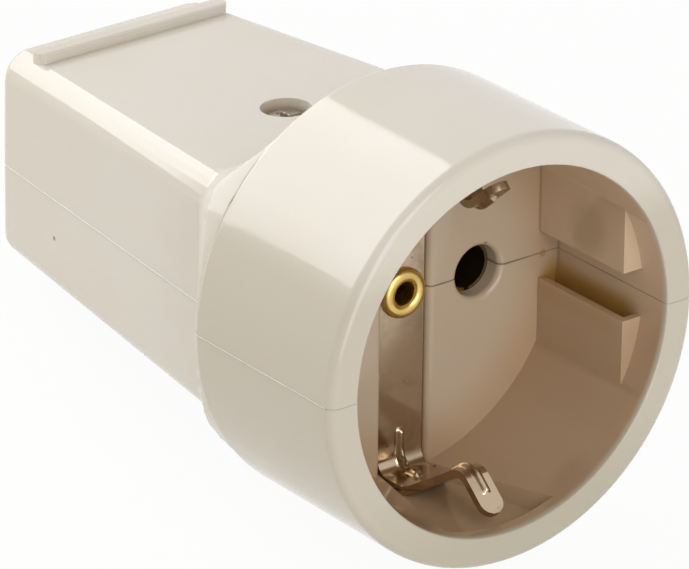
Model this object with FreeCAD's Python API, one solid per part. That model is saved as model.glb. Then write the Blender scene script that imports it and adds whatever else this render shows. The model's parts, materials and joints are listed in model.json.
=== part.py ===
import FreeCAD, Part
import math
import os

from FreeCAD import Vector

# Inline socket connector for a round-pin mains plug with side earth contacts.
# The socket's axis is modelled along +Y, mouth at y = 0, housing split at z = 0.
# The finished pieces are then tilted together into the pose in which the part comes to rest.
# All sizes are in millimetres and all angles in degrees.

# Socket recess
RECESS_RADIUS = 20.0
RECESS_DEPTH = 17.8
MOUTH_ROUND = 0.4
FLOOR_THICKNESS = 4.2
PIN_SPACING = 19.0
PIN_HOLE_RADIUS = 2.8
PIN_HOLE_LEAD = 0.7

# Guide ribs at both sides of the recess
GUIDE_FLAT_X = 17.4
GUIDE_GAP = 5.4
GUIDE_SETBACK = 4.0
GUIDE_WALL = 0.8

# Collar
COLLAR_WALL = 3.6
COLLAR_LENGTH = 22.65
COLLAR_DRAFT = 0.25
COLLAR_FRONT_ROUND = 1.2
COLLAR_REAR_ROUND = 0.5

# Handle
HANDLE_LENGTH = 46.4
SIDE_STEP = 4.15
TOP_STEP = 9.0
SIDE_TAPER = 5.45
TOP_TAPER = 1.85
SIDE_DRAFT = 3.0
HANDLE_EDGE_ROUND = 3.2
TAIL_ROUND = 1.0
JUNCTION_FILLET = 0.7
SHELL_WALL = 2.2
TAIL_WALL = 2.6
PARTING_GAP = 0.04

# Grip bead near the tail
BEAD_LENGTH = 23.8
BEAD_WIDTH = 2.4
BEAD_HEIGHT = 1.0
BEAD_ROUND = 0.5
BEAD_END_ROUND = 1.0
BEAD_FROM_TAIL = 4.4

# Earth strap and its clips
STRAP_WIDTH = 5.7
STRAP_THICKNESS = 0.85
STRAP_SINK = 0.7
CLIP_FOOT_HEIGHT = 19.25
CLIP_BEND_RADIUS = 2.0
CLIP_RISE_DEPTH = 12.6
CLIP_RISE_RADIUS = 3.0
CLIP_HUMP_DEPTH = 6.4
CLIP_HUMP_HEIGHT = 14.95
CLIP_HUMP_RADIUS = 1.7
CLIP_TIP_DEPTH = 2.2
CLIP_TIP_HEIGHT = 18.4
TONGUE_ROOT_WIDTH = 4.9
TONGUE_WIDTH = 2.8
SHOULDER_DEPTH = 14.6
SHOULDER_LENGTH = 0.7
TAPER_LENGTH = 6.2
GUSSET_RADIUS = 0.55
GUSSET_RISE = 3.1
GUSSET_REACH = 3.9
GUSSET_BEND = 2.6
BEAD_SIDES = 8
HUMP_BEAD_RADIUS = 0.45
HUMP_BEAD_BACK = 3.0
HUMP_BEAD_FRONT = 2.6

# Hollow rivet
RIVET_FLANGE_RADIUS = 2.75
RIVET_FLANGE_HEIGHT = 0.8
RIVET_FLANGE_ROUND = 0.45
RIVET_LIP_ROUND = 0.4
RIVET_TUBE_RADIUS = 1.75
RIVET_BORE_RADIUS = 1.25
RIVET_ROLL_RADIUS = 2.4
RIVET_ROLL_HEIGHT = 0.5

# Earth terminal
BRACKET_WIDTH = 6.8
BRACKET_THICKNESS = 1.2
BRACKET_RISE = 3.4
BRACKET_DROP = 5.4
BRACKET_TO_BOSS = 1.6
EARTH_WASHER_SIDE = 5.2
EARTH_WASHER_THICKNESS = 0.8
EARTH_SCREW_LENGTH = 6.0

# Contact sleeves
SLEEVE_BORE_RADIUS = 2.43
SLEEVE_WALL = 0.7
SLEEVE_LENGTH = 19.0
SLEEVE_SEAT = 2.0
SLEEVE_SLOT_WIDTH = 0.6
SLEEVE_SLOT_LENGTH = 10.0
SPRING_WALL = 0.5
SPRING_WIDTH = 3.0
SPRING_OPENING = 1.6
SPRING_FROM_FLOOR = 1.4

# Pillar terminals
TERMINAL_WIDTH = 8.0
TERMINAL_HEIGHT = 8.8
TERMINAL_LENGTH = 10.0
TERMINAL_SOCKET_DEPTH = 3.0
WIRE_HOLE_RADIUS = 1.6
WIRE_HOLE_DEPTH = 6.0
TERMINAL_SCREW_FROM_END = 3.0
TERMINAL_SCREW_LENGTH = 5.4

# Screws and nut
SCREW_RADIUS = 1.5
SCREW_HEAD_RADIUS = 2.45
SCREW_HEAD_HEIGHT = 1.8
SCREW_HEAD_ROUND = 0.3
SCREW_SLOT_WIDTH = 0.7
SCREW_SLOT_DEPTH = 0.9
HOUSING_SCREW_DEPTH = 37.9
HOUSING_SCREW_SINK = 0.7
HOUSING_BOSS_RADIUS = 3.6
NUT_ACROSS_FLATS = 5.5
NUT_THICKNESS = 2.4
NUT_SINK = 1.0
NUT_SIDES = 6

# Cord inlet and clamp
CORD_INLET_RADIUS = 4.2
CORD_INLET_ROUND = 0.8
CLAMP_FROM_TAIL = 14.0
CLAMP_WIDTH = 7.0
CLAMP_THICKNESS = 2.2
CLAMP_SCREW_SPACING = 17.6
CLAMP_END = 3.0
CLAMP_SCREW_LENGTH = 8.0
CLAMP_BOSS_RADIUS = 3.0

# Webs, pegs and clearances
WEB_THICKNESS = 2.0
WEB_FROM_FLOOR = 10.0
WEB_INNER_X = 4.8
PEG_RADIUS = 0.8
PEG_HEIGHT = 1.6
PEG_FROM_SIDE = 3.6
FIT_GAP = 0.05
LOOSE_GAP = 0.15
HOLE_GAP = 0.2
OVERLAP = 2.0
ROUND_TOLERANCE = 0.04

# Levels along the axis, worked out from the sizes above
COLLAR_RADIUS = RECESS_RADIUS + COLLAR_WALL
COLLAR_REAR_RADIUS = COLLAR_RADIUS - COLLAR_DRAFT
BODY_LENGTH = COLLAR_LENGTH + HANDLE_LENGTH
FLOOR_BACK = RECESS_DEPTH + FLOOR_THICKNESS
CHAMBER_END = BODY_LENGTH - TAIL_WALL
STRAP_FRONT = RECESS_DEPTH + STRAP_SINK
STRAP_BACK = STRAP_FRONT + STRAP_THICKNESS
BEAD_DEPTH = BODY_LENGTH - BEAD_FROM_TAIL
CLAMP_DEPTH = BODY_LENGTH - CLAMP_FROM_TAIL
PIN_X = PIN_SPACING / 2
SLEEVE_RADIUS = SLEEVE_BORE_RADIUS + SLEEVE_WALL
SLEEVE_FRONT = RECESS_DEPTH + SLEEVE_SEAT
SLEEVE_END = SLEEVE_FRONT + SLEEVE_LENGTH
TERMINAL_FRONT = SLEEVE_END - TERMINAL_SOCKET_DEPTH
TERMINAL_END = TERMINAL_FRONT + TERMINAL_LENGTH
TERMINAL_TOP = TERMINAL_HEIGHT / 2
TERMINAL_SCREW_Y = TERMINAL_END - TERMINAL_SCREW_FROM_END
BRACKET_SHELF_TOP = BRACKET_THICKNESS - BRACKET_DROP
BRACKET_END = HOUSING_SCREW_DEPTH - HOUSING_BOSS_RADIUS - BRACKET_TO_BOSS
EARTH_SCREW_Y = (FLOOR_BACK + BRACKET_THICKNESS + BRACKET_END) / 2
SCREW_HOLE_RADIUS = SCREW_RADIUS + FIT_GAP
SIDES = {"left": -1, "right": 1}


def half_width(y):
    """Half the handle's width on the parting plane at depth y."""
    return COLLAR_REAR_RADIUS - SIDE_STEP - SIDE_TAPER * (y - COLLAR_LENGTH) / HANDLE_LENGTH


def half_height(y):
    """Half the handle's height at depth y."""
    return COLLAR_REAR_RADIUS - TOP_STEP - TOP_TAPER * (y - COLLAR_LENGTH) / HANDLE_LENGTH


HEAD_TOP = half_height(HOUSING_SCREW_DEPTH) - HOUSING_SCREW_SINK
HEAD_SEAT = HEAD_TOP - SCREW_HEAD_HEIGHT
NUT_BOTTOM = NUT_SINK - half_height(HOUSING_SCREW_DEPTH)
NUT_SEAT = NUT_BOTTOM + NUT_THICKNESS
BEAD_TOP = half_height(BEAD_DEPTH) + BEAD_HEIGHT


def box(x0, x1, y0, y1, z0, z1):
    """Box between two corners."""
    return Part.makeBox(x1 - x0, y1 - y0, z1 - z0, Vector(x0, y0, z0))


def rod_y(radius, y0, y1, x=0.0):
    """Cylinder along the socket's axis, at x on the parting plane."""
    return Part.makeCylinder(radius, y1 - y0, Vector(x, y0, 0), Vector(0, 1, 0))


def rod_z(radius, z0, z1, x, y):
    """Upright cylinder."""
    return Part.makeCylinder(radius, z1 - z0, Vector(x, y, z0))


def fused(shapes):
    """One solid from several."""
    return shapes[0].multiFuse(shapes[1:]).removeSplitter()


def corner_points(before, corner, after, radius):
    """Start, middle and end of the arc that rounds a corner."""
    if radius <= 0:
        return corner, None, corner
    back = (before - corner).normalize()
    ahead = (after - corner).normalize()
    half_angle = back.getAngle(ahead) / 2
    reach = radius / math.tan(half_angle)
    inward = (back + ahead).normalize()
    middle = corner + inward * (radius / math.sin(half_angle) - radius)
    return corner + back * reach, middle, corner + ahead * reach


def rounded_path(corners, closed=True):
    """Wire through (point, radius) corners, each rounded by its radius."""
    points = [Vector(point) for point, _ in corners]
    count = len(points)
    rounds = []
    for index, (_, radius) in enumerate(corners):
        at_end = not closed and index in (0, count - 1)
        rounds.append(
            corner_points(
                points[index - 1], points[index], points[(index + 1) % count], 0 if at_end else radius
            )
        )
    edges = []
    for index, (start, middle, stop) in enumerate(rounds):
        if middle is not None:
            edges.append(Part.Arc(start, middle, stop).toShape())
        if closed or index < count - 1:
            following = rounds[(index + 1) % count][0]
            edges.append(Part.makeLine(stop, following))
    return Part.Wire(edges)


def arc_steps(radius, turn):
    """Number of straight steps that make a round of this radius and angle."""
    return math.ceil(turn / (2 * math.acos(1 - ROUND_TOLERANCE / radius)))


def stepped_path(corners):
    """Closed polygon through (point, radius) corners, each round made of a few straight steps."""
    points = [Vector(point) for point, _ in corners]
    count = len(points)
    outline = []
    for index, (_, radius) in enumerate(corners):
        following = points[(index + 1) % count]
        start, middle, stop = corner_points(points[index - 1], points[index], following, radius)
        if middle is None:
            outline.append(start)
            continue
        arc = Part.Arc(start, middle, stop).toShape()
        outline += arc.discretize(arc_steps(radius, arc.Length / radius) + 1)
    return Part.makePolygon(outline + outline[:1])


def turned(corners, x=0.0, angle=360.0):
    """Solid of revolution about the line at x along Y, from (radius, depth, round) corners."""
    path = [(Vector(x + radius, depth, 0), rounding) for radius, depth, rounding in corners]
    return Part.Face(stepped_path(path)).revolve(Vector(x, 0, 0), Vector(0, -1, 0), angle)


def lofted(rings):
    """Solid between rings of corners that have the same number of corners and parallel sides."""
    count = len(rings[0])
    outlines = [rings[0][::-1], rings[-1]]
    for front, rear in zip(rings, rings[1:]):
        for index in range(count):
            following = (index + 1) % count
            outlines.append([front[index], front[following], rear[following], rear[index]])
    faces = [Part.Face(Part.makePolygon(outline + outline[:1])) for outline in outlines]
    return Part.Solid(Part.Shell(faces))


def chamber_ring(y):
    """Outline of the handle's inside at a depth."""
    width = half_width(y) - SHELL_WALL
    height = half_height(y) - SHELL_WALL
    top = width - height * math.tan(math.radians(SIDE_DRAFT))
    upper = [Vector(-width, y, 0), Vector(-top, y, height), Vector(top, y, height), Vector(width, y, 0)]
    return upper + [Vector(top, y, -height), Vector(-top, y, -height)]


def handle_ring(y, inset):
    """Outline of the handle above the parting plane at a depth, moved inwards by an inset."""
    draft = math.radians(SIDE_DRAFT)
    turn = math.pi / 2 - draft
    steps = arc_steps(HANDLE_EDGE_ROUND, turn)
    radius = HANDLE_EDGE_ROUND - inset
    width = half_width(y) - inset / math.cos(draft)
    centre_z = half_height(y) - inset - radius
    centre_x = width - centre_z * math.tan(draft) - radius / math.cos(draft)
    right = [Vector(width, y, 0)]
    for index in range(steps + 1):
        angle = draft + turn * index / steps
        right.append(Vector(centre_x + radius * math.cos(angle), y, centre_z + radius * math.sin(angle)))
    left = [Vector(-point.x, y, point.z) for point in right]
    return left + right[::-1]


def quarter_round(radius):
    """Points (along, across) of a quarter round in straight steps, from its start to its end."""
    steps = arc_steps(radius, math.pi / 2)
    angles = [math.pi / 2 * index / steps for index in range(steps + 1)]
    return [(radius * math.sin(angle), radius - radius * math.cos(angle)) for angle in angles]


def handle_half():
    """Upper half of the handle's outside, with a cove at the collar and rounded tail edges."""
    cove = min(JUNCTION_FILLET, junction_room() - FIT_GAP)
    foot = COLLAR_LENGTH + cove
    rings = [handle_ring(COLLAR_LENGTH - OVERLAP, -cove)]
    rings += [handle_ring(foot - along_y, -across) for along_y, across in quarter_round(cove)[::-1]]
    edge = BODY_LENGTH - TAIL_ROUND
    rings += [handle_ring(edge + along_y, across) for along_y, across in quarter_round(TAIL_ROUND)]
    return lofted(rings)


def junction_room():
    """Flat left on the collar's rear face beside the handle's corners."""
    height = half_height(COLLAR_LENGTH)
    width = half_width(COLLAR_LENGTH) - height * math.tan(math.radians(SIDE_DRAFT))
    centre = math.hypot(width - HANDLE_EDGE_ROUND, height - HANDLE_EDGE_ROUND)
    return COLLAR_REAR_RADIUS - COLLAR_REAR_ROUND - centre - HANDLE_EDGE_ROUND


def grip_bead():
    """Rounded rib across the upper face near the tail."""
    x = BEAD_LENGTH / 2
    front = BEAD_DEPTH - BEAD_WIDTH / 2
    rear = BEAD_DEPTH + BEAD_WIDTH / 2
    bottom = BEAD_TOP - BEAD_HEIGHT - SHELL_WALL / 2
    section = [
        (Vector(-x, front, bottom), 0),
        (Vector(-x, rear, bottom), 0),
        (Vector(-x, rear, BEAD_TOP), BEAD_ROUND),
        (Vector(-x, front, BEAD_TOP), BEAD_ROUND),
    ]
    bar = Part.Face(stepped_path(section)).extrude(Vector(2 * x, 0, 0))
    plan = box(-x, x, front, rear, bottom, BEAD_TOP)
    uprights = [edge for edge in plan.Edges if edge.BoundBox.ZLength > BEAD_HEIGHT]
    return bar.common(plan.makeFillet(BEAD_END_ROUND, uprights))


def half_body():
    """Outside of the housing above the parting plane, solid inside."""
    collar = turned(
        [
            (0, 0, 0),
            (COLLAR_RADIUS, 0, COLLAR_FRONT_ROUND),
            (COLLAR_REAR_RADIUS, COLLAR_LENGTH, COLLAR_REAR_ROUND),
            (0, COLLAR_LENGTH, 0),
        ],
        angle=180.0,
    )
    return fused([collar, handle_half(), grip_bead()])


def recess_cutter():
    """Space of the round recess, less the thin-walled guide ribs."""
    space = turned(
        [
            (0, -OVERLAP, 0),
            (RECESS_RADIUS + OVERLAP, -OVERLAP, 0),
            (RECESS_RADIUS + OVERLAP, 0, 0),
            (RECESS_RADIUS, 0, MOUTH_ROUND),
            (RECESS_RADIUS, RECESS_DEPTH, 0),
            (0, RECESS_DEPTH, 0),
        ]
    )
    reach = RECESS_RADIUS + OVERLAP
    half_gap = GUIDE_GAP / 2
    wall_end = GUIDE_SETBACK + GUIDE_WALL
    for side in SIDES.values():
        flat = GUIDE_FLAT_X * side
        for rise in (-1, 1):
            z0, z1 = sorted((half_gap * rise, reach * rise))
            plate_x = sorted((flat, flat + GUIDE_WALL * side))
            end_x = sorted((flat, reach * side))
            plate = box(*plate_x, GUIDE_SETBACK, RECESS_DEPTH + OVERLAP, z0, z1)
            end = box(*end_x, GUIDE_SETBACK, wall_end, z0, z1)
            space = space.cut(plate.fuse(end))
    return space


def pin_hole_cutter(side):
    """Rounded pin hole with the wider seat of a contact sleeve behind it."""
    front = RECESS_DEPTH - OVERLAP
    mouth = PIN_HOLE_RADIUS + PIN_HOLE_LEAD + OVERLAP
    seat = SLEEVE_RADIUS + LOOSE_GAP
    return turned(
        [
            (0, front, 0),
            (mouth, front, 0),
            (mouth, RECESS_DEPTH, 0),
            (PIN_HOLE_RADIUS, RECESS_DEPTH, PIN_HOLE_LEAD),
            (PIN_HOLE_RADIUS, SLEEVE_FRONT, 0),
            (seat, SLEEVE_FRONT, 0),
            (seat, FLOOR_BACK + OVERLAP, 0),
            (0, FLOOR_BACK + OVERLAP, 0),
        ],
        x=PIN_X * side,
    )


def strap_channel_cutter():
    """Channel across the recess floor in which the earth strap lies, with rounded lips."""
    half = STRAP_WIDTH / 2 + LOOSE_GAP
    lip = STRAP_SINK
    front = RECESS_DEPTH - OVERLAP
    outline = [
        (Vector(-half - lip - OVERLAP, front, 0), 0),
        (Vector(half + lip + OVERLAP, front, 0), 0),
        (Vector(half + lip + OVERLAP, RECESS_DEPTH, 0), 0),
        (Vector(half, RECESS_DEPTH, 0), lip),
        (Vector(half, STRAP_BACK, 0), 0),
        (Vector(-half, STRAP_BACK, 0), 0),
        (Vector(-half, RECESS_DEPTH, 0), lip),
        (Vector(-half - lip - OVERLAP, RECESS_DEPTH, 0), 0),
    ]
    prism = Part.Face(rounded_path(outline)).extrude(Vector(0, 0, 2 * RECESS_RADIUS))
    prism.translate(Vector(0, 0, -RECESS_RADIUS))
    return prism.common(rod_y(RECESS_RADIUS, front, STRAP_BACK))


def inlet_cutter():
    """Hole for the cord through the tail wall, with a rounded mouth."""
    mouth = CORD_INLET_RADIUS + CORD_INLET_ROUND + OVERLAP
    return turned(
        [
            (0, CHAMBER_END - OVERLAP, 0),
            (CORD_INLET_RADIUS, CHAMBER_END - OVERLAP, 0),
            (CORD_INLET_RADIUS, BODY_LENGTH, CORD_INLET_ROUND),
            (mouth, BODY_LENGTH, 0),
            (mouth, BODY_LENGTH + OVERLAP, 0),
            (0, BODY_LENGTH + OVERLAP, 0),
        ]
    )


def inner_cutters():
    """Room for the pieces that both halves of the housing hold between them."""
    cutters = [recess_cutter(), strap_channel_cutter(), inlet_cutter()]
    cutters.append(rod_y(RIVET_TUBE_RADIUS + FIT_GAP, STRAP_FRONT, FLOOR_BACK + OVERLAP))
    hole = SCREW_RADIUS + HOLE_GAP
    reach = half_height(COLLAR_LENGTH) + OVERLAP
    cutters.append(rod_z(hole, -reach, reach, 0, HOUSING_SCREW_DEPTH))
    width = TERMINAL_WIDTH / 2 + LOOSE_GAP
    for side in SIDES.values():
        x = PIN_X * side
        cutters.append(pin_hole_cutter(side))
        cutters.append(rod_y(SLEEVE_RADIUS + LOOSE_GAP, FLOOR_BACK, SLEEVE_END, x))
        cutters.append(
            box(
                x - width,
                x + width,
                TERMINAL_FRONT - LOOSE_GAP,
                TERMINAL_END + LOOSE_GAP,
                -TERMINAL_TOP,
                TERMINAL_TOP + SCREW_HEAD_HEIGHT + LOOSE_GAP,
            )
        )
    return cutters


def half_webs(rise):
    """Walls that carry the sleeves, and the boss of the housing screw, in one half."""
    reach = half_height(COLLAR_LENGTH)
    z0, z1 = sorted((0.0, reach * rise))
    web_front = FLOOR_BACK + WEB_FROM_FLOOR
    webs = [rod_z(HOUSING_BOSS_RADIUS, z0, z1, 0, HOUSING_SCREW_DEPTH)]
    for side in SIDES.values():
        x0, x1 = sorted((WEB_INNER_X * side, COLLAR_RADIUS * side))
        webs.append(box(x0, x1, web_front, web_front + WEB_THICKNESS, z0, z1))
    return webs


def pegs(gap):
    """Locating pegs that stand on the lower half, or their holes with a gap all round."""
    y = (CHAMBER_END + BODY_LENGTH) / 2
    x = half_width(y) - PEG_FROM_SIDE
    return [rod_z(PEG_RADIUS + gap, -PEG_HEIGHT, PEG_HEIGHT + gap, x * side, y) for side in SIDES.values()]


def terminal_shelves():
    """Stands under the pillar terminals in the lower half."""
    bottom = -half_height(COLLAR_LENGTH)
    half = TERMINAL_WIDTH / 2 - SHELL_WALL / 2
    stands = []
    for side in SIDES.values():
        x = PIN_X * side
        stands.append(
            box(x - half, x + half, TERMINAL_FRONT, TERMINAL_END - SHELL_WALL, bottom, -TERMINAL_TOP)
        )
    return stands


def clamp_stands():
    """Screw bosses of the cord clamp and the saddle that the cord lies on, in the lower half."""
    bottom = -half_height(COLLAR_LENGTH)
    half = CLAMP_SCREW_SPACING / 2
    saddle = box(
        -half,
        half,
        CLAMP_DEPTH - WEB_THICKNESS / 2,
        CLAMP_DEPTH + WEB_THICKNESS / 2,
        bottom,
        -CLAMP_THICKNESS,
    )
    stands = [saddle.cut(rod_y(CORD_INLET_RADIUS, FLOOR_BACK, BODY_LENGTH))]
    holes = []
    for side in SIDES.values():
        stands.append(rod_z(CLAMP_BOSS_RADIUS, bottom, 0.0, half * side, CLAMP_DEPTH))
        depth = CLAMP_SCREW_LENGTH + FIT_GAP
        holes.append(rod_z(SCREW_HOLE_RADIUS, -depth, OVERLAP, half * side, CLAMP_DEPTH))
    return [fused(stands).cut(holes)]


def hollow_half(body, supports):
    """Half of the housing, hollowed, with its inner supports, just short of the parting plane."""
    chamber = lofted([chamber_ring(FLOOR_BACK), chamber_ring(CHAMBER_END)])
    inner = fused(supports).common(body)
    half = PARTING_GAP / 2
    end = BODY_LENGTH + OVERLAP
    parting = box(-COLLAR_RADIUS - OVERLAP, COLLAR_RADIUS + OVERLAP, -OVERLAP, end, -half, half)
    return fused([body.cut(chamber), inner]).cut(parting)


def upper_shell(body):
    """Upper half of the housing, with the screw's counterbore and the peg holes."""
    shell = hollow_half(body, half_webs(1))
    reach = half_height(COLLAR_LENGTH) + OVERLAP
    counterbore = rod_z(SCREW_HEAD_RADIUS + HOLE_GAP, HEAD_SEAT, reach, 0, HOUSING_SCREW_DEPTH)
    return shell.cut(inner_cutters() + [counterbore] + pegs(FIT_GAP))


def ring_points(centre, across, up, radius, sides):
    """Corners of a regular polygon round a centre, closed."""
    points = []
    for index in range(sides + 1):
        angle = 2 * math.pi * index / sides
        points.append(centre + across * (radius * math.cos(angle)) + up * (radius * math.sin(angle)))
    return points


def hexagon(across_flats, z0, z1):
    """Upright hexagonal prism on the housing screw's axis."""
    radius = across_flats / 2 / math.cos(math.pi / NUT_SIDES)
    centre = Vector(0, HOUSING_SCREW_DEPTH, z0)
    ring = ring_points(centre, Vector(1, 0, 0), Vector(0, 1, 0), radius, NUT_SIDES)
    return Part.Face(Part.makePolygon(ring)).extrude(Vector(0, 0, z1 - z0))


def lower_shell(body):
    """Lower half of the housing, with the nut's pocket, clamp bosses, stands and pegs."""
    mirrored = body.mirror(Vector(0, 0, 0), Vector(0, 0, 1))
    shell = hollow_half(mirrored, half_webs(-1) + terminal_shelves() + clamp_stands())
    reach = half_height(COLLAR_LENGTH) + OVERLAP
    pocket = hexagon(NUT_ACROSS_FLATS + HOLE_GAP, -reach, NUT_SEAT)
    shell = shell.cut(inner_cutters() + [pocket])
    return fused([shell] + pegs(0.0))


def offset_corners(corners, shift):
    """Corners of a path moved sideways by a distance, in the plane of depth and height."""
    moved = []
    last = len(corners) - 1
    for index, (point, radius) in enumerate(corners):
        before = corners[max(index - 1, 0)][0]
        after = corners[min(index + 1, last)][0]
        first = point - before if index > 0 else after - point
        second = after - point if index < last else point - before
        first.normalize()
        second.normalize()
        normal_one = Vector(0, -first.z, first.y)
        normal_two = Vector(0, -second.z, second.y)
        miter = (normal_one + normal_two) * (1 / (1 + normal_one.dot(normal_two)))
        turn = first.y * second.z - first.z * second.y
        bend = radius - math.copysign(shift, turn) if radius > 0 else 0
        moved.append((point + miter * shift, bend))
    return moved


def clip_corners():
    """Middle line of one clip, from the strap's centre to the clip's tip, on the lower side."""
    middle = STRAP_FRONT + STRAP_THICKNESS / 2
    return [
        (Vector(0, middle, 0), 0),
        (Vector(0, middle, -CLIP_FOOT_HEIGHT), CLIP_BEND_RADIUS),
        (Vector(0, CLIP_RISE_DEPTH, -CLIP_FOOT_HEIGHT), CLIP_RISE_RADIUS),
        (Vector(0, CLIP_HUMP_DEPTH, -CLIP_HUMP_HEIGHT), CLIP_HUMP_RADIUS),
        (Vector(0, CLIP_TIP_DEPTH, -CLIP_TIP_HEIGHT), 0),
    ]


def pressed_bead(corners, radius):
    """Embossed bead along a path, with a many-sided section in place of a round one."""
    path = rounded_path(corners, closed=False)
    start = path.Edges[0]
    heading = start.tangentAt(start.FirstParameter)
    across = Vector(1, 0, 0)
    ring = ring_points(corners[0][0], across, across.cross(heading), radius, BEAD_SIDES)
    return path.makePipeShell([Part.makePolygon(ring)], True, False)


def along(start, end, distance):
    """Point at a distance from one point towards another."""
    return start + (end - start).normalize() * distance


def clip_beads():
    """Gusset through the clip's foot bend and the bead over its hump, on the lower side."""
    inner = offset_corners(clip_corners(), -STRAP_THICKNESS / 2)
    foot = inner[1][0]
    gusset = [
        (foot + Vector(0, 0, GUSSET_RISE), 0),
        (foot, GUSSET_BEND),
        (foot - Vector(0, GUSSET_REACH, 0), 0),
    ]
    hump = inner[3][0]
    bead = [
        (along(hump, inner[2][0], HUMP_BEAD_BACK), 0),
        inner[3],
        (along(hump, inner[4][0], HUMP_BEAD_FRONT), 0),
    ]
    return [pressed_bead(gusset, GUSSET_RADIUS), pressed_bead(bead, HUMP_BEAD_RADIUS)]


def strap_outline():
    """Plan of the strap seen along Z: full width at the floor, shoulders and a round-tipped tongue."""
    wide = STRAP_WIDTH / 2
    root = TONGUE_ROOT_WIDTH / 2
    narrow = TONGUE_WIDTH / 2
    tip = CLIP_TIP_DEPTH - STRAP_THICKNESS / 2
    neck = SHOULDER_DEPTH - SHOULDER_LENGTH
    taper_end = neck - TAPER_LENGTH
    rear = STRAP_BACK + OVERLAP
    right = [
        (wide, rear, 0),
        (wide, SHOULDER_DEPTH, 0),
        (root, neck, 0),
        (narrow, taper_end, 0),
        (narrow, tip, narrow - FIT_GAP),
    ]
    left = [(-x, y, rounding) for x, y, rounding in right[::-1]]
    outline = [(Vector(x, y, 0), rounding) for x, y, rounding in right + left]
    prism = Part.Face(rounded_path(outline)).extrude(Vector(0, 0, 2 * RECESS_RADIUS))
    prism.translate(Vector(0, 0, -RECESS_RADIUS))
    return prism


def earth_strap():
    """Pressed strap with a formed spring clip, gusset and bead at each end."""
    lower = clip_corners()
    upper = [(Vector(0, point.y, -point.z), radius) for point, radius in lower[:0:-1]]
    middle_line = upper + lower[1:]
    half = STRAP_THICKNESS / 2
    section = offset_corners(middle_line, half) + offset_corners(middle_line, -half)[::-1]
    sheet = Part.Face(rounded_path(section)).extrude(Vector(STRAP_WIDTH, 0, 0))
    sheet.translate(Vector(-STRAP_WIDTH / 2, 0, 0))
    strap = sheet.common(strap_outline())
    beads = clip_beads()
    beads += [bead.mirror(Vector(0, 0, 0), Vector(0, 0, 1)) for bead in clip_beads()]
    strap = fused([strap] + beads)
    return strap.cut(rod_y(RIVET_TUBE_RADIUS + FIT_GAP, STRAP_FRONT - OVERLAP, STRAP_BACK + OVERLAP))


def earth_rivet():
    """Hollow rivet with a rounded flange in front and a rolled edge behind the bracket."""
    front = STRAP_FRONT - RIVET_FLANGE_HEIGHT
    rear = FLOOR_BACK + BRACKET_THICKNESS
    end = rear + RIVET_ROLL_HEIGHT
    return turned(
        [
            (RIVET_BORE_RADIUS, front, RIVET_LIP_ROUND),
            (RIVET_FLANGE_RADIUS, front, RIVET_FLANGE_ROUND),
            (RIVET_FLANGE_RADIUS, STRAP_FRONT, 0),
            (RIVET_TUBE_RADIUS, STRAP_FRONT, 0),
            (RIVET_TUBE_RADIUS, rear, 0),
            (RIVET_ROLL_RADIUS, rear, 0),
            (RIVET_ROLL_RADIUS, end, 0),
            (RIVET_BORE_RADIUS, end, 0),
        ]
    )


def earth_terminal():
    """Angle bracket behind the recess floor: a tab held by the rivet and a shelf for the wire."""
    half = BRACKET_WIDTH / 2
    rear = FLOOR_BACK + BRACKET_THICKNESS
    tab = box(-half, half, FLOOR_BACK, rear, -BRACKET_DROP, BRACKET_RISE)
    shelf = box(-half, half, FLOOR_BACK, BRACKET_END, -BRACKET_DROP, BRACKET_SHELF_TOP)
    bracket = fused([tab, shelf])
    bracket = bracket.cut(rod_y(RIVET_TUBE_RADIUS + FIT_GAP, FLOOR_BACK - OVERLAP, rear + OVERLAP))
    return bracket.cut(rod_z(SCREW_HOLE_RADIUS, -BRACKET_DROP - OVERLAP, OVERLAP, 0, EARTH_SCREW_Y))


def earth_washer():
    """Square clamp washer on the bracket's shelf."""
    half = EARTH_WASHER_SIDE / 2
    top = BRACKET_SHELF_TOP + EARTH_WASHER_THICKNESS
    plate = box(-half, half, EARTH_SCREW_Y - half, EARTH_SCREW_Y + half, BRACKET_SHELF_TOP, top)
    return plate.cut(rod_z(SCREW_HOLE_RADIUS, BRACKET_SHELF_TOP - OVERLAP, OVERLAP, 0, EARTH_SCREW_Y))


def screw(x, y, seat, length, crossed):
    """Screw that points down, its head on a seat, with a slot or a cross in the head."""
    top = seat + SCREW_HEAD_HEIGHT
    body = fused([rod_z(SCREW_HEAD_RADIUS, seat, top, x, y), rod_z(SCREW_RADIUS, seat - length, seat, x, y)])
    half = SCREW_SLOT_WIDTH / 2
    bottom = top - SCREW_SLOT_DEPTH
    if not crossed:
        reach = SCREW_HEAD_RADIUS + OVERLAP
        return body.cut(box(x - reach, x + reach, y - half, y + half, bottom, top + OVERLAP))
    rim = [edge for edge in body.Edges if edge.BoundBox.ZMin > top - FIT_GAP]
    body = body.makeChamfer(SCREW_HEAD_ROUND, rim)
    reach = SCREW_HEAD_RADIUS - 2 * SCREW_HEAD_ROUND
    across = box(x - reach, x + reach, y - half, y + half, bottom, top + OVERLAP)
    along_axis = box(x - half, x + half, y - reach, y + reach, bottom, top + OVERLAP)
    return body.cut([across, along_axis])


def contact_sleeve(side):
    """Brass tube for a plug pin, slotted at the front into spring fingers."""
    x = PIN_X * side
    tube = rod_y(SLEEVE_RADIUS, SLEEVE_FRONT, SLEEVE_END, x)
    tube = tube.cut(rod_y(SLEEVE_BORE_RADIUS, SLEEVE_FRONT - OVERLAP, SLEEVE_END + OVERLAP, x))
    half = SLEEVE_SLOT_WIDTH / 2
    reach = SLEEVE_RADIUS + OVERLAP
    front = SLEEVE_FRONT - OVERLAP
    slot_end = SLEEVE_FRONT + SLEEVE_SLOT_LENGTH
    return tube.cut(box(x - half, x + half, front, slot_end, -reach, reach))


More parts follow.
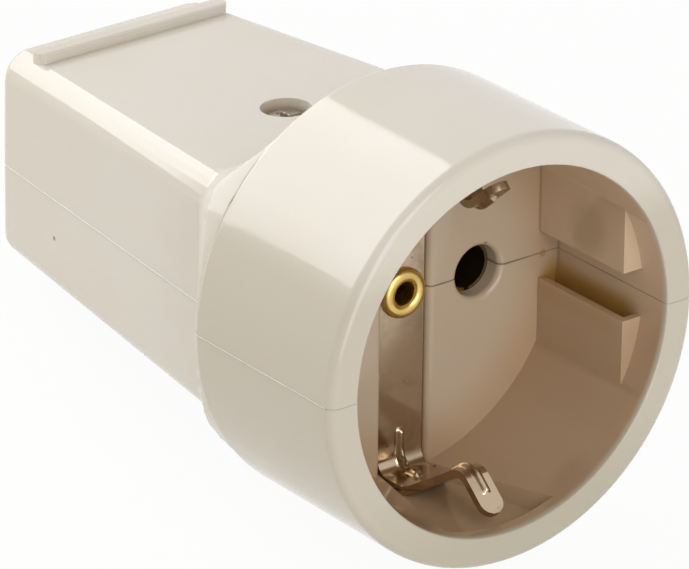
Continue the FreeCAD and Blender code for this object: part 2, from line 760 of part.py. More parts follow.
def sleeve_spring(side):
    """Open steel ring that presses a sleeve's fingers together."""
    x = PIN_X * side
    inner = SLEEVE_RADIUS + FIT_GAP
    front = FLOOR_BACK + SPRING_FROM_FLOOR
    rear = front + SPRING_WIDTH
    ring = rod_y(inner + SPRING_WALL, front, rear, x)
    ring = ring.cut(rod_y(inner, front - OVERLAP, rear + OVERLAP, x))
    half = SPRING_OPENING / 2
    reach = inner + SPRING_WALL + OVERLAP
    x0, x1 = sorted((x, x - reach * side))
    return ring.cut(box(x0, x1, front - OVERLAP, rear + OVERLAP, -half, half))


def pillar_terminal(side):
    """Brass block on the rear of a sleeve, with a wire hole and a screw hole."""
    x = PIN_X * side
    half = TERMINAL_WIDTH / 2
    block = box(x - half, x + half, TERMINAL_FRONT, TERMINAL_END, -TERMINAL_TOP, TERMINAL_TOP)
    socket = rod_y(SLEEVE_RADIUS + FIT_GAP, TERMINAL_FRONT - OVERLAP, SLEEVE_END, x)
    wire = rod_y(WIRE_HOLE_RADIUS, TERMINAL_END - WIRE_HOLE_DEPTH, TERMINAL_END + OVERLAP, x)
    thread_end = TERMINAL_TOP - TERMINAL_SCREW_LENGTH - FIT_GAP
    thread = rod_z(SCREW_HOLE_RADIUS, thread_end, TERMINAL_TOP + OVERLAP, x, TERMINAL_SCREW_Y)
    return block.cut([socket, wire, thread])


def housing_nut():
    """Hexagon nut on the housing screw, let into the underside."""
    nut = hexagon(NUT_ACROSS_FLATS, NUT_BOTTOM, NUT_SEAT)
    hole = rod_z(SCREW_HOLE_RADIUS, NUT_BOTTOM - OVERLAP, NUT_SEAT + OVERLAP, 0, HOUSING_SCREW_DEPTH)
    return nut.cut(hole)


def cord_clamp():
    """Arched bar over the cord's way in, with a flat end on each boss."""
    front = CLAMP_DEPTH - CLAMP_WIDTH / 2
    rear = CLAMP_DEPTH + CLAMP_WIDTH / 2
    reach = CLAMP_SCREW_SPACING / 2 + CLAMP_END
    arch = rod_y(CORD_INLET_RADIUS + CLAMP_THICKNESS, front, rear)
    ends = box(-reach, reach, front, rear, 0.0, CLAMP_THICKNESS)
    bar = fused([arch.common(box(-reach, reach, front, rear, 0.0, reach)), ends])
    bar = bar.cut(rod_y(CORD_INLET_RADIUS, front - OVERLAP, rear + OVERLAP))
    holes = [
        rod_z(SCREW_HOLE_RADIUS, -OVERLAP, reach, CLAMP_SCREW_SPACING / 2 * side, CLAMP_DEPTH)
        for side in SIDES.values()
    ]
    return bar.cut(holes)


def lower_tangent(centre_one, radius_one, centre_two, radius_two):
    """Angle of the line that touches two circles from below."""
    depth = centre_two[0] - centre_one[0]
    height = centre_two[1] - centre_one[1]
    span = math.hypot(depth, height)
    return math.atan2(height, depth) + math.asin((radius_one - radius_two) / span)


def rest_tilt():
    """Angle in radians at which the part rests on the collar's rear edge and the lower bead."""
    collar = (COLLAR_LENGTH - COLLAR_REAR_ROUND, COLLAR_REAR_ROUND - COLLAR_REAR_RADIUS)
    bead = (BEAD_DEPTH + BEAD_WIDTH / 2 - BEAD_ROUND, BEAD_ROUND - BEAD_TOP)
    tail = (BODY_LENGTH - TAIL_ROUND, TAIL_ROUND - half_height(BODY_LENGTH))
    on_bead = lower_tangent(collar, COLLAR_REAR_ROUND, bead, BEAD_ROUND)
    on_tail = lower_tangent(collar, COLLAR_REAR_ROUND, tail, TAIL_ROUND)
    return min(on_bead, on_tail)


def all_pieces():
    """Every piece of the connector, by name, with the socket's axis along Y."""
    body = half_body()
    pieces = {
        "upper_shell": upper_shell(body),
        "lower_shell": lower_shell(body),
        "earth_strap": earth_strap(),
        "earth_rivet": earth_rivet(),
        "earth_terminal": earth_terminal(),
        "earth_washer": earth_washer(),
        "housing_nut": housing_nut(),
        "cord_clamp": cord_clamp(),
    }
    washer_top = BRACKET_SHELF_TOP + EARTH_WASHER_THICKNESS
    pieces["earth_screw"] = screw(0, EARTH_SCREW_Y, washer_top, EARTH_SCREW_LENGTH, False)
    pieces["housing_screw"] = screw(0, HOUSING_SCREW_DEPTH, HEAD_SEAT, HEAD_SEAT - NUT_BOTTOM, True)
    for name, side in SIDES.items():
        clamp_x = CLAMP_SCREW_SPACING / 2 * side
        shank = CLAMP_THICKNESS + CLAMP_SCREW_LENGTH
        pieces[name + "_sleeve"] = contact_sleeve(side)
        pieces[name + "_sleeve_spring"] = sleeve_spring(side)
        pieces[name + "_terminal"] = pillar_terminal(side)
        pieces[name + "_terminal_screw"] = screw(
            PIN_X * side, TERMINAL_SCREW_Y, TERMINAL_TOP, TERMINAL_SCREW_LENGTH, False
        )
        pieces[name + "_clamp_screw"] = screw(clamp_x, CLAMP_DEPTH, CLAMP_THICKNESS, shank, False)
    return pieces


def main():
    """Build the pieces, lay them in the rest pose and write one file for each."""
    pieces = all_pieces()
    tilt = -math.degrees(rest_tilt())
    for shape in pieces.values():
        shape.rotate(Vector(0, 0, 0), Vector(1, 0, 0), tilt)
    bounds = FreeCAD.BoundBox()
    for name in ("upper_shell", "lower_shell"):
        bounds.add(pieces[name].optimalBoundingBox(False, False))
    shift = Vector(-bounds.Center.x, -bounds.Center.y, -bounds.ZMin)
    os.makedirs("parts", exist_ok=True)
    for name, shape in pieces.items():
        shape.translate(shift)
        shape.exportStep("parts/" + name + ".step")
        print(name, len(shape.Solids), shape.isValid(), round(shape.Volume, 2))
    print("tilt", round(tilt, 3), "shift", [round(value, 4) for value in shift])


main()
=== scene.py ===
"""Looks of an inline mains socket: finishes, fine pieces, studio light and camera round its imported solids."""

import json
import logging
import math
from dataclasses import dataclass
from enum import Enum
from typing import Any

import bmesh
import bpy
import numpy as np
from mathutils import Matrix, Vector


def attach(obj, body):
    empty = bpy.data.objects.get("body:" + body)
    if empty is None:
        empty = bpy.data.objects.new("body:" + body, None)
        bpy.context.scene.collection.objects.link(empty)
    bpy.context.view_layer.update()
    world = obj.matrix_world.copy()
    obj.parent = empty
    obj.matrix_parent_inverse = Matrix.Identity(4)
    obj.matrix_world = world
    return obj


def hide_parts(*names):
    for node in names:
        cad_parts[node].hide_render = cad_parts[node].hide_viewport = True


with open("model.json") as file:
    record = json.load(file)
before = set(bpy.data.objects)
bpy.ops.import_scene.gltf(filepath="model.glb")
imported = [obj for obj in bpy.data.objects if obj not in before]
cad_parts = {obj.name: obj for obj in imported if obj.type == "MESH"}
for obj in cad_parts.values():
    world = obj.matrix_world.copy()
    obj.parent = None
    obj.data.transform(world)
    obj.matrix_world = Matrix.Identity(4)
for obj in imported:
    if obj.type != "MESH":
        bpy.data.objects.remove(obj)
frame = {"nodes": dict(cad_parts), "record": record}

LOG = logging.getLogger("inline_socket")
MM = 0.001
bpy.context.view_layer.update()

Colour = tuple[float, float, float, float]
Point = tuple[float, float, float]
Span = tuple[float, float]


class Drive(Enum):
    """Form of the recess in a screw's head."""

    CROSS = "cross"
    SLOT = "slot"


@dataclass(frozen=True)
class SocketAxes:
    """The socket's own axes: x to the right, y into the mouth, z up from the parting plane.

    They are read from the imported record, so the fine pieces follow the pose in which the part lies.
    """

    cosine: float
    sine: float
    origin: Point

    @classmethod
    def from_record(cls, record: dict[str, Any]) -> "SocketAxes":
        """Read the axes from the record's mount in the middle of the mouth.

        Args:
            record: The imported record.

        Returns:
            The axes, with the mouth's centre as their origin in metres.
        """
        mount = next(item for item in record["mounts"] if item["name"] == "plug_recess")
        return cls(-mount["axis"][1], mount["axis"][2], tuple(mount["pos_m"]))

    def turn(self) -> np.ndarray:
        """Matrix that turns a direction in the socket's axes into the row frame."""
        return np.array([[1, 0, 0], [0, self.cosine, self.sine], [0, -self.sine, self.cosine]])

    def to_row(self, points: np.ndarray) -> np.ndarray:
        """Points in millimetres in the socket's axes, as metres in the row frame."""
        return points @ self.turn().T * MM + np.array(self.origin)

    def from_row(self, points: np.ndarray) -> np.ndarray:
        """Points in metres in the row frame, as millimetres in the socket's axes."""
        return (points - np.array(self.origin)) / MM @ self.turn()

    def spot(self, x: float, y: float, z: float) -> Point:
        """One point in millimetres in the socket's axes, as metres in the row frame."""
        return tuple(float(value) for value in self.to_row(np.array([x, y, z])))

    def direction(self, x: float, y: float, z: float) -> Point:
        """A direction in the socket's axes, turned into the row frame."""
        return tuple(float(value) for value in self.turn() @ np.array([x, y, z]))


class Channel:
    """A shader socket with arithmetic: every operation adds one node."""

    def __init__(self, graph: "Graph", socket: bpy.types.NodeSocket) -> None:
        """Keep the socket and the graph that it belongs to."""
        self.graph = graph
        self.socket = socket

    def math(self, operation: str, *values: Any) -> "Channel":
        """Add a Math node on the given numbers and channels."""
        return self.graph.node("ShaderNodeMath", {"operation": operation}, dict(enumerate(values)))

    def __add__(self, other: Any) -> "Channel":
        """Sum."""
        return self.math("ADD", self, other)

    def __radd__(self, other: Any) -> "Channel":
        """Sum with a number on the left."""
        return self.math("ADD", other, self)

    def __sub__(self, other: Any) -> "Channel":
        """Difference."""
        return self.math("SUBTRACT", self, other)

    def __rsub__(self, other: Any) -> "Channel":
        """Difference with a number on the left."""
        return self.math("SUBTRACT", other, self)

    def __mul__(self, other: Any) -> "Channel":
        """Product."""
        return self.math("MULTIPLY", self, other)

    def __rmul__(self, other: Any) -> "Channel":
        """Product with a number on the left."""
        return self.math("MULTIPLY", other, self)

    def __abs__(self) -> "Channel":
        """Size without sign."""
        return self.math("ABSOLUTE", self)

    def larger(self, other: Any) -> "Channel":
        """The larger of two values."""
        return self.math("MAXIMUM", self, other)

    def ramp(self, start: float, end: float) -> "Channel":
        """Smooth rise from nought at the start value to one at the end value."""
        settings = {"interpolation_type": "SMOOTHSTEP"}
        return self.graph.node("ShaderNodeMapRange", settings, {0: self, 1: start, 2: end, 3: 0.0, 4: 1.0})

    def over(self, span: Span) -> "Channel":
        """Smooth rise from nought to one over a span in millimetres."""
        return self.ramp(span[0] * MM, span[1] * MM)


class Graph:
    """Node tree of a material or of the world, with a method for every kind of node or measure."""

    def __init__(self, owner: Any) -> None:
        """Clear the owner's node tree.

        Args:
            owner: A material or a world.
        """
        owner.use_nodes = True
        self.tree = owner.node_tree
        self.tree.nodes.clear()

    def node(self, kind: str, settings: dict[str, Any], inputs: dict[Any, Any], output: Any = 0) -> Channel:
        """Add one node.

        Args:
            kind: Type name of the node.
            settings: Properties of the node, set before its sockets.
            inputs: Values or channels by socket name or number.
            output: Name or number of the output that is returned.

        Returns:
            The chosen output.
        """
        made = self.tree.nodes.new(kind)
        for name, value in settings.items():
            setattr(made, name, value)
        for name, value in inputs.items():
            if isinstance(value, Channel):
                self.tree.links.new(value.socket, made.inputs[name])
            else:
                made.inputs[name].default_value = value
        return Channel(self, made.outputs[output])

    def place(self) -> Channel:
        """Object coordinates, in metres."""
        return self.node("ShaderNodeTexCoord", {}, {}, "Object")

    def noise(self, place: Channel, scale: float, detail: float = 2.0, rough: float = 0.5) -> Channel:
        """Noise of a number of waves to the metre."""
        return self.node(
            "ShaderNodeTexNoise", {}, {"Vector": place, "Scale": scale, "Detail": detail, "Roughness": rough}
        )

    def blend(self, factor: Any, one: Any, two: Any) -> Channel:
        """Mix of two colours."""
        settings = {"data_type": "RGBA", "clamp_factor": True}
        return self.node("ShaderNodeMix", settings, {0: factor, 6: one, 7: two}, 2)

    def away(self, place: Channel, centre: Point) -> Channel:
        """Distance from a point, in metres."""
        inputs = {0: place, 1: centre}
        return self.node("ShaderNodeVectorMath", {"operation": "DISTANCE"}, inputs, "Value")

    def along(self, place: Channel, direction: Point, start: Point) -> Channel:
        """Distance along a direction: the dot product with it, less that of the start point.

        Args:
            place: Coordinates in metres.
            direction: Unit vector.
            start: Point from which the distance counts.

        Returns:
            The distance in metres.
        """
        inputs = {0: place, 1: direction}
        dot = self.node("ShaderNodeVectorMath", {"operation": "DOT_PRODUCT"}, inputs, "Value")
        return dot - float(np.dot(direction, start))

    def stretched(self, place: Channel, scale: Point) -> Channel:
        """Coordinates stretched along each axis."""
        return self.node("ShaderNodeMapping", {}, {"Vector": place, "Scale": scale})

    def spread(self, place: Channel, direction: Point, start: Point) -> Channel:
        """Distance from a line: the length of the cross product with its direction.

        Args:
            place: Coordinates in metres.
            direction: Unit vector along the line.
            start: Point on the line.

        Returns:
            The distance in metres.
        """
        offset = self.node("ShaderNodeVectorMath", {"operation": "SUBTRACT"}, {0: place, 1: start})
        inputs = {0: offset, 1: direction}
        cross = self.node("ShaderNodeVectorMath", {"operation": "CROSS_PRODUCT"}, inputs)
        return self.node("ShaderNodeVectorMath", {"operation": "LENGTH"}, {0: cross}, "Value")

    def bump(self, height: Channel, strength: float, distance: float) -> Channel:
        """Normal bent by a height."""
        return self.node("ShaderNodeBump", {}, {"Strength": strength, "Distance": distance, "Height": height})

    def finish(self, shader: Channel, kind: str = "ShaderNodeOutputMaterial") -> None:
        """Add the output node and link the shader to its surface."""
        made = self.tree.nodes.new(kind)
        self.tree.links.new(shader.socket, made.inputs["Surface"])


@dataclass(frozen=True)
class SocketPlace:
    """Where a shaded point lies: its coordinates, and its depth, distance and rise from the socket's axis."""

    place: Channel
    depth: Channel
    aside: Channel
    rise: Channel

    @classmethod
    def read(cls, graph: Graph, axes: SocketAxes) -> "SocketPlace":
        """Work the place out from Object coordinates.

        Args:
            graph: Graph of the material.
            axes: The socket's axes.

        Returns:
            The place, in metres.
        """
        place = graph.place()
        inwards = axes.direction(0, 1, 0)
        depth = graph.along(place, inwards, axes.origin)
        aside = graph.spread(place, inwards, axes.origin)
        return cls(place, depth, aside, graph.along(place, axes.direction(0, 0, 1), axes.origin))


@dataclass(frozen=True)
class Speck:
    """Round speck, stain or spot of painted shade: centre in the socket's axes and radius in millimetres, and
    its colour.
    """

    centre: Point
    radius: float
    tone: Colour


@dataclass(frozen=True)
class IvoryPlastic:
    """Glossy ivory moulding: broad tone changes, painted shade on the collar and in the recess, painted light
    on the recess's upper wall, a seam line and dirt.

    Spans are in millimetres in the socket's axes, and waves count to the metre.
    """

    name: str = "ivory_plastic"
    pale: Colour = (0.80, 0.752, 0.672, 1.0)
    warm: Colour = (0.785, 0.728, 0.635, 1.0)
    # Painted shade: the recess's floor and walls darker and browner than the outside; painted light: the wall
    # paler above the parting plane.
    inner: Colour = (0.55, 0.445, 0.33, 1.0)
    wall: Colour = (0.525, 0.375, 0.24, 1.0)
    painted_light_upper_wall: Colour = (0.68, 0.52, 0.365, 1.0)
    # Painted shade: the collar darker below its middle, and darker and browner still near the bottom.
    painted_collar_shade: Colour = (0.665, 0.61, 0.505, 1.0)
    painted_low_collar_shade: Colour = (0.585, 0.54, 0.42, 1.0)
    # Painted shade for the pockets behind the lower ribs and the gap between the ribs at the floor.
    painted_amber_shade: Colour = (0.45, 0.26, 0.07, 1.0)
    dirt: Colour = (0.16, 0.12, 0.07, 1.0)
    recess_edge: Span = (22.3, 22.55)
    recess_lip: Span = (0.3, 1.0)
    recess_end: Span = (20.6, 21.4)
    floor_start: Span = (17.2, 17.7)
    wall_start: Span = (13.0, 19.0)
    upper_start: Span = (-6.0, 4.0)
    collar_end: Span = (22.6, 23.0)
    collar_shade_fade: Span = (9.5, 16.0)
    low_collar_shade_fade: Span = (-21.0, -9.0)
    rib_back: Point = (19.7, 0.0, -3.6)
    shade_line_edge: Span = (0.6, 3.2)
    shade_line_start: Span = (3.5, 7.0)
    seam_edge: Span = (0.05, 0.16)
    seam_fade: Span = (17.5, 19.0)
    speck_share: float = 0.8
    broad_waves: float = 48.0
    grain_waves: float = 2600.0
    smear_waves: float = 170.0
    wear_waves: float = 120.0
    peel_waves: float = 210.0
    roughness: float = 0.11
    roughness_spread: float = 0.08
    scatter: float = 0.12

    def moulded_and_shaded(self, graph: Graph, here: SocketPlace, grain: Channel) -> Channel:
        """Colour of the outside: broad patches and fine grain, with painted shade making the collar darker
        towards the bottom.

        Args:
            graph: Graph of the material.
            here: Place of the shaded point.
            grain: Fine noise.

        Returns:
            The colour.
        """
        broad = graph.noise(here.place, self.broad_waves, 3.0).ramp(0.35, 0.68)
        colour = graph.blend(broad, self.pale, self.warm)
        colour = graph.blend(grain.ramp(0.30, 0.75) * 0.05, colour, self.warm)
        # Painted shade on the collar: darker below its middle and darker still towards the bottom.
        painted_collar_shade = graph.blend(here.rise.over(self.low_collar_shade_fade), self.painted_low_collar_shade, self.painted_collar_shade)
        collar = 1 - here.depth.over(self.collar_end)
        return graph.blend((1 - here.rise.over(self.collar_shade_fade)) * collar, colour, painted_collar_shade)

    def recess_painted_shade(self, graph: Graph, here: SocketPlace) -> Channel:
        """Colour of the recess: painted shade making its floor and walls darker and browner, with painted light
        making the walls paler above the parting plane.

        Args:
            graph: Graph of the material.
            here: Place of the shaded point.

        Returns:
            The colour.
        """
        # Painted light on the wall above the parting plane, painted shade on the floor and the rest of the
        # wall.
        upper = here.rise.over(self.upper_start) * (1 - here.depth.over(self.floor_start))
        wall = graph.blend(upper, self.wall, self.painted_light_upper_wall)
        return graph.blend(here.aside.over(self.wall_start), self.inner, wall)

    def soiled_and_shaded(
        self, graph: Graph, here: SocketPlace, axes: SocketAxes, inside: Channel, colour: Channel
    ) -> Channel:
        """Colour with painted shade lines behind the lower ribs and the dirt in the recess's parting line.

        Args:
            graph: Graph of the material.
            here: Place of the shaded point.
            axes: The socket's axes.
            inside: One in the recess, nought outside.
            colour: Colour without them.

        Returns:
            The colour.
        """
        # Painted shade: a dark line along the pocket behind each lower rib, where it lies in shade.
        for side in (-1, 1):
            start = axes.spot(side * self.rib_back[0], self.rib_back[1], self.rib_back[2])
            line = graph.spread(here.place, axes.direction(0, 1, 0), start)
            stain = (1 - line.over(self.shade_line_edge)) * inside * here.depth.over(self.shade_line_start)
            colour = graph.blend(stain, colour, self.painted_amber_shade)
        smear = graph.noise(here.place, self.smear_waves, 3.0).ramp(0.30, 0.70)
        seam = (1 - abs(here.rise).over(self.seam_edge)) * inside * (0.30 + 0.40 * smear)
        return graph.blend(seam * (1 - 0.7 * here.aside.over(self.seam_fade)), colour, self.dirt)

    def material(self, axes: SocketAxes, specks: list[Speck]) -> bpy.types.Material:
        """Make the material.

        Args:
            axes: The socket's axes, for the recess and the parting plane.
            specks: Specks and stains, and spots of painted shade.

        Returns:
            The material.
        """
        made = bpy.data.materials.new(self.name)
        graph = Graph(made)
        here = SocketPlace.read(graph, axes)
        grain = graph.noise(here.place, self.grain_waves, 2.0)
        inside = (1 - here.aside.over(self.recess_edge)) * here.depth.over(self.recess_lip)
        inside = inside * (1 - here.depth.over(self.recess_end))
        colour = graph.blend(inside, self.moulded_and_shaded(graph, here, grain), self.recess_painted_shade(graph, here))
        colour = self.soiled_and_shaded(graph, here, axes, inside, colour)
        for speck in specks:
            away = graph.away(here.place, axes.spot(*speck.centre))
            spot = 1 - away.over((speck.radius * 0.4, speck.radius))
            colour = graph.blend(spot * self.speck_share, colour, speck.tone)
        wear = graph.noise(here.place, self.wear_waves, 4.0, 0.6)
        peel = graph.noise(here.place, self.peel_waves, 1.0) + grain * 0.10
        shader = graph.node(
            "ShaderNodeBsdfPrincipled",
            {},
            {
                "Base Color": colour,
                "Roughness": self.roughness + (wear - 0.5) * self.roughness_spread,
                "IOR": 1.49,
                "Subsurface Weight": self.scatter,
                "Subsurface Radius": (1.0, 0.62, 0.34),
                "Subsurface Scale": 0.0016,
                "Normal": graph.bump(peel, 0.14, 0.06 * MM),
            },
        )
        graph.finish(shader)
        return made


@dataclass(frozen=True)
class MetalFinish:
    """Metal with rolling or turning streaks along one direction, cloudy tarnish and a few dark specks."""

    name: str
    bright: Colour
    tarnish: Colour
    roughness: float
    tarnish_share: float = 0.35
    streak: Point = (900.0, 900.0, 60.0)
    cloud_waves: float = 260.0
    pit_waves: float = 1500.0

    def material(self) -> bpy.types.Material:
        """Make the material.

        Returns:
            The material.
        """
        made = bpy.data.materials.new(self.name)
        graph = Graph(made)
        place = graph.place()
        lines = graph.noise(graph.stretched(place, self.streak), 1.0, 3.0)
        cloud = graph.noise(place, self.cloud_waves, 4.0, 0.62).ramp(0.40, 0.72)
        pits = graph.noise(place, self.pit_waves, 1.0).ramp(0.735, 0.78)
        stain = (cloud * self.tarnish_share + (lines - 0.5) * 0.25).larger(pits * 0.8)
        colour = graph.blend(stain, self.bright, self.tarnish)
        rough = self.roughness + cloud * 0.12 + (lines - 0.5) * 0.10
        shader = graph.node(
            "ShaderNodeBsdfPrincipled",
            {},
            {
                "Base Color": colour,
                "Metallic": 1.0,
                "Roughness": rough,
                "Normal": graph.bump(lines + cloud * 0.4, 0.10, 0.04 * MM),
            },
        )
        graph.finish(shader)
        return made


def placed(name: str, data: bpy.types.ID) -> bpy.types.Object:
    """Put a new object into the scene, at the origin.

    Args:
        name: Name of the object.
        data: Its mesh, camera or light.

    Returns:
        The object.
    """
    made = bpy.data.objects.new(name, data)
    bpy.context.scene.collection.objects.link(made)
    return made


class Surface:
    """Vertices and faces of one piece, gathered grid by grid in the socket's axes, in millimetres."""

    def __init__(self) -> None:
        """Start with no vertices and no faces."""
        self.points: list[np.ndarray] = []
        self.faces: list[list[int]] = []
        self.count = 0

    def add(self, points: np.ndarray) -> np.ndarray:
        """Add points.

        Args:
            points: Array whose last axis holds x, y and z.

        Returns:
            Numbers of the new vertices, in the array's shape.
        """
        flat = points.reshape(-1, 3)
        index = np.arange(self.count, self.count + len(flat)).reshape(points.shape[:-1])
        self.points.append(flat)
        self.count += len(flat)
        return index

    def quads(self, index: np.ndarray, keep: np.ndarray | None = None) -> None:
        """Add the faces between neighbouring rows and columns of vertex numbers.

        Args:
            index: Grid of vertex numbers.
            keep: Which cells of the grid get a face; all if it is left out.
        """
        cells = np.stack([index[:-1, :-1], index[1:, :-1], index[1:, 1:], index[:-1, 1:]], axis=-1)
        chosen = cells.reshape(-1, 4) if keep is None else cells[keep]
        self.faces += chosen.tolist()

    def cap(self, ring: np.ndarray) -> None:
        """Close a ring of vertices with one face."""
        self.faces.append(ring.tolist())

    def tube(self, grid: np.ndarray, capped: bool = True) -> None:
        """Add a grid whose columns close on themselves, with a cap at each end or joined end to end.

        Args:
            grid: Points by row and column.
            capped: Whether the first and last rows are closed by a face; otherwise they are joined.
        """
        index = self.add(grid)
        index = np.concatenate([index, index[:, :1]], axis=1)
        if not capped:
            index = np.concatenate([index, index[:1]], axis=0)
        self.quads(index)
        if capped:
            self.cap(index[0, :-1])
            self.cap(index[-1, :-1])

    def body(self, name: str, axes: SocketAxes) -> bpy.types.Object:
        """Turn the gathered surface into an object whose place is in its mesh.

        Args:
            name: Name of the object.
            axes: The socket's axes.

        Returns:
            The object, with its faces outwards.
        """
        mesh = bpy.data.meshes.new(name)
        mesh.from_pydata(axes.to_row(np.concatenate(self.points)).tolist(), [], self.faces)
        work = bmesh.new()
        work.from_mesh(mesh)
        bmesh.ops.remove_doubles(work, verts=work.verts, dist=1e-7)
        bmesh.ops.recalc_face_normals(work, faces=work.faces)
        work.to_mesh(mesh)
        work.free()
        return placed(name, mesh)

    def piece(
        self, name: str, axes: SocketAxes, material: bpy.types.Material, smooth_deg: float
    ) -> bpy.types.Object:
        """Turn the gathered surface into a finished piece.

        Args:
            name: Name of the piece.
            axes: The socket's axes.
            material: Finish of the piece.
            smooth_deg: Edges sharper than this angle stay sharp.

        Returns:
            The object, riding on the part's body.
        """
        made = self.body(name, axes)
        made.data.shade_smooth()
        made.data.set_sharp_from_angle(angle=math.radians(smooth_deg))
        made.data.materials.append(material)
        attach(made, "root")
        LOG.info("built %s", made.name)
        return made


ARC_POINTS = 25
EDGE_STEPS = 2


def run_length(line: np.ndarray) -> np.ndarray:
    """Distance along a line of points, from its first point."""
    return np.concatenate([[0], np.cumsum(np.linalg.norm(np.diff(line, axis=0), axis=1))])


def round_angles(count: int) -> np.ndarray:
    """Angles of evenly spaced columns round a full turn, as one row."""
    return np.linspace(0, 2 * math.pi, count, endpoint=False)[None, :]


def thread_wave(rise: np.ndarray, angle: np.ndarray, pitch: float) -> np.ndarray:
    """Triangle wave, between nought and one, of the height over the pitch less the share of a turn."""
    return np.abs((rise / pitch - angle / (2 * math.pi)) % 1.0 * 2 - 1)


def rounded_line(corners: np.ndarray, radii: np.ndarray, step: float) -> np.ndarray:
    """Evenly spaced points along a line of straight runs with rounded corners.

    Each corner is replaced by the arc of its radius that touches both runs; the points are then spread
    by arc length.

    Args:
        corners: Corner points in a plane.
        radii: Rounding radius at each corner, not used at the two ends.
        step: Wanted distance between points.

    Returns:
        Array of points in the plane.
    """
    parts = [corners[:1]]
    for before, corner, after, radius in zip(corners[:-2], corners[1:-1], corners[2:], radii[1:-1]):
        back = (before - corner) / np.linalg.norm(before - corner)
        ahead = (after - corner) / np.linalg.norm(after - corner)
        half = math.acos(float(np.clip(back @ ahead, -1, 1))) / 2
        middle = (back + ahead) / np.linalg.norm(back + ahead)
        centre = corner + middle * radius / math.sin(half)
        start = corner + back * radius / math.tan(half) - centre
        end = corner + ahead * radius / math.tan(half) - centre
        sweep = math.pi - 2 * half
        share = np.linspace(0, 1, ARC_POINTS)[:, None]
        arc = start * np.sin((1 - share) * sweep) + end * np.sin(share * sweep)
        parts.append(centre + arc / math.sin(sweep))
    parts.append(corners[-1:])
    line = np.concatenate(parts)
    gone = run_length(line)
    wanted = np.linspace(0, gone[-1], int(round(gone[-1] / step)) + 1)
    return np.stack([np.interp(wanted, gone, line[:, axis]) for axis in (0, 1)], axis=1)


def bell(distance: np.ndarray, reach: float) -> np.ndarray:
    """Smooth hump: one at nought and nought from the reach on, the square of one less the squared share."""
    return np.clip(1 - (distance / reach) ** 2, 0, 1) ** 2


def window(value: np.ndarray, start: float, end: float, blur: float) -> np.ndarray:
    """One between two values, falling to nought at both ends by three squares of the share less two cubes.

    Args:
        value: Values.
        start: Value in the middle of the rise.
        end: Value in the middle of the fall.
        blur: Width of the rise and of the fall.

    Returns:
        Array of shares.
    """
    rise = np.clip((value - start) / blur + 0.5, 0, 1)
    fall = np.clip((end - value) / blur + 0.5, 0, 1)
    return rise * rise * (3 - 2 * rise) * fall * fall * (3 - 2 * fall)


def soft_edges(piece: bpy.types.Object, width: float, angle_deg: float) -> None:
    """Round a piece's sharp edges with a Bevel modifier.

    Args:
        piece: The piece.
        width: Width of the bevel in millimetres.
        angle_deg: Edges that turn by more than this are rounded.
    """
    bevel = piece.modifiers.new("soft_edges", "BEVEL")
    bevel.width = width * MM
    bevel.segments = EDGE_STEPS
    bevel.limit_method = "ANGLE"
    bevel.angle_limit = math.radians(angle_deg)
    bevel.use_clamp_overlap = True


@dataclass
class CadDressing:
    """Edge rounding and smooth shading for solids that show as they are."""

    merge: float = 0.002
    flat_deg: float = 0.6
    smooth_deg: float = 50.0
    edge_deg: float = 40.0

    def shading(self) -> bpy.types.NodeTree:
        """Make the nodes that shade all faces smooth and keep edges sharp past an angle.

        Returns:
            The node group.
        """
        group = bpy.data.node_groups.new("smooth_by_angle", "GeometryNodeTree")
        group.interface.new_socket("Geometry", in_out="INPUT", socket_type="NodeSocketGeometry")
        group.interface.new_socket("Geometry", in_out="OUTPUT", socket_type="NodeSocketGeometry")
        enter = group.nodes.new("NodeGroupInput")
        leave = group.nodes.new("NodeGroupOutput")
        angle = group.nodes.new("GeometryNodeInputMeshEdgeAngle")
        sharp = group.nodes.new("FunctionNodeCompare")
        sharp.operation = "GREATER_THAN"
        sharp.inputs["B"].default_value = math.radians(self.smooth_deg)
        faces = group.nodes.new("GeometryNodeSetShadeSmooth")
        edges = group.nodes.new("GeometryNodeSetShadeSmooth")
        edges.domain = "EDGE"
        edges.inputs["Shade Smooth"].default_value = False
        group.links.new(enter.outputs[0], faces.inputs["Geometry"])
        group.links.new(faces.outputs[0], edges.inputs["Geometry"])
        group.links.new(angle.outputs[0], sharp.inputs["A"])
        group.links.new(sharp.outputs[0], edges.inputs["Selection"])
        group.links.new(edges.outputs[0], leave.inputs[0])
        return group

    def dress(
        self, node: bpy.types.Object, material: bpy.types.Material, shading: bpy.types.NodeTree, edge: float
    ) -> None:
        """Give a solid its finish, merged triangles, rounded edges and smooth shading.

        Args:
            node: The solid's node, or a piece made from it.
            material: Finish.
            shading: The node group from shading().
            edge: Width of the edge rounding in millimetres; none if it is nought.
        """
        node.data.materials.clear()
        node.data.materials.append(material)
        weld = node.modifiers.new("merge", "WELD")
        weld.merge_threshold = self.merge * MM
        flat = node.modifiers.new("flat_faces", "DECIMATE")
        flat.decimate_type = "DISSOLVE"
        flat.angle_limit = math.radians(self.flat_deg)
        if edge > 0:
            soft_edges(node, edge, self.edge_deg)
        smooth = node.modifiers.new("smooth", "NODES")
        smooth.node_group = shading
        even = node.modifiers.new("even_normals", "WEIGHTED_NORMAL")
        even.keep_sharp = True
        LOG.info("dressed %s", node.name)


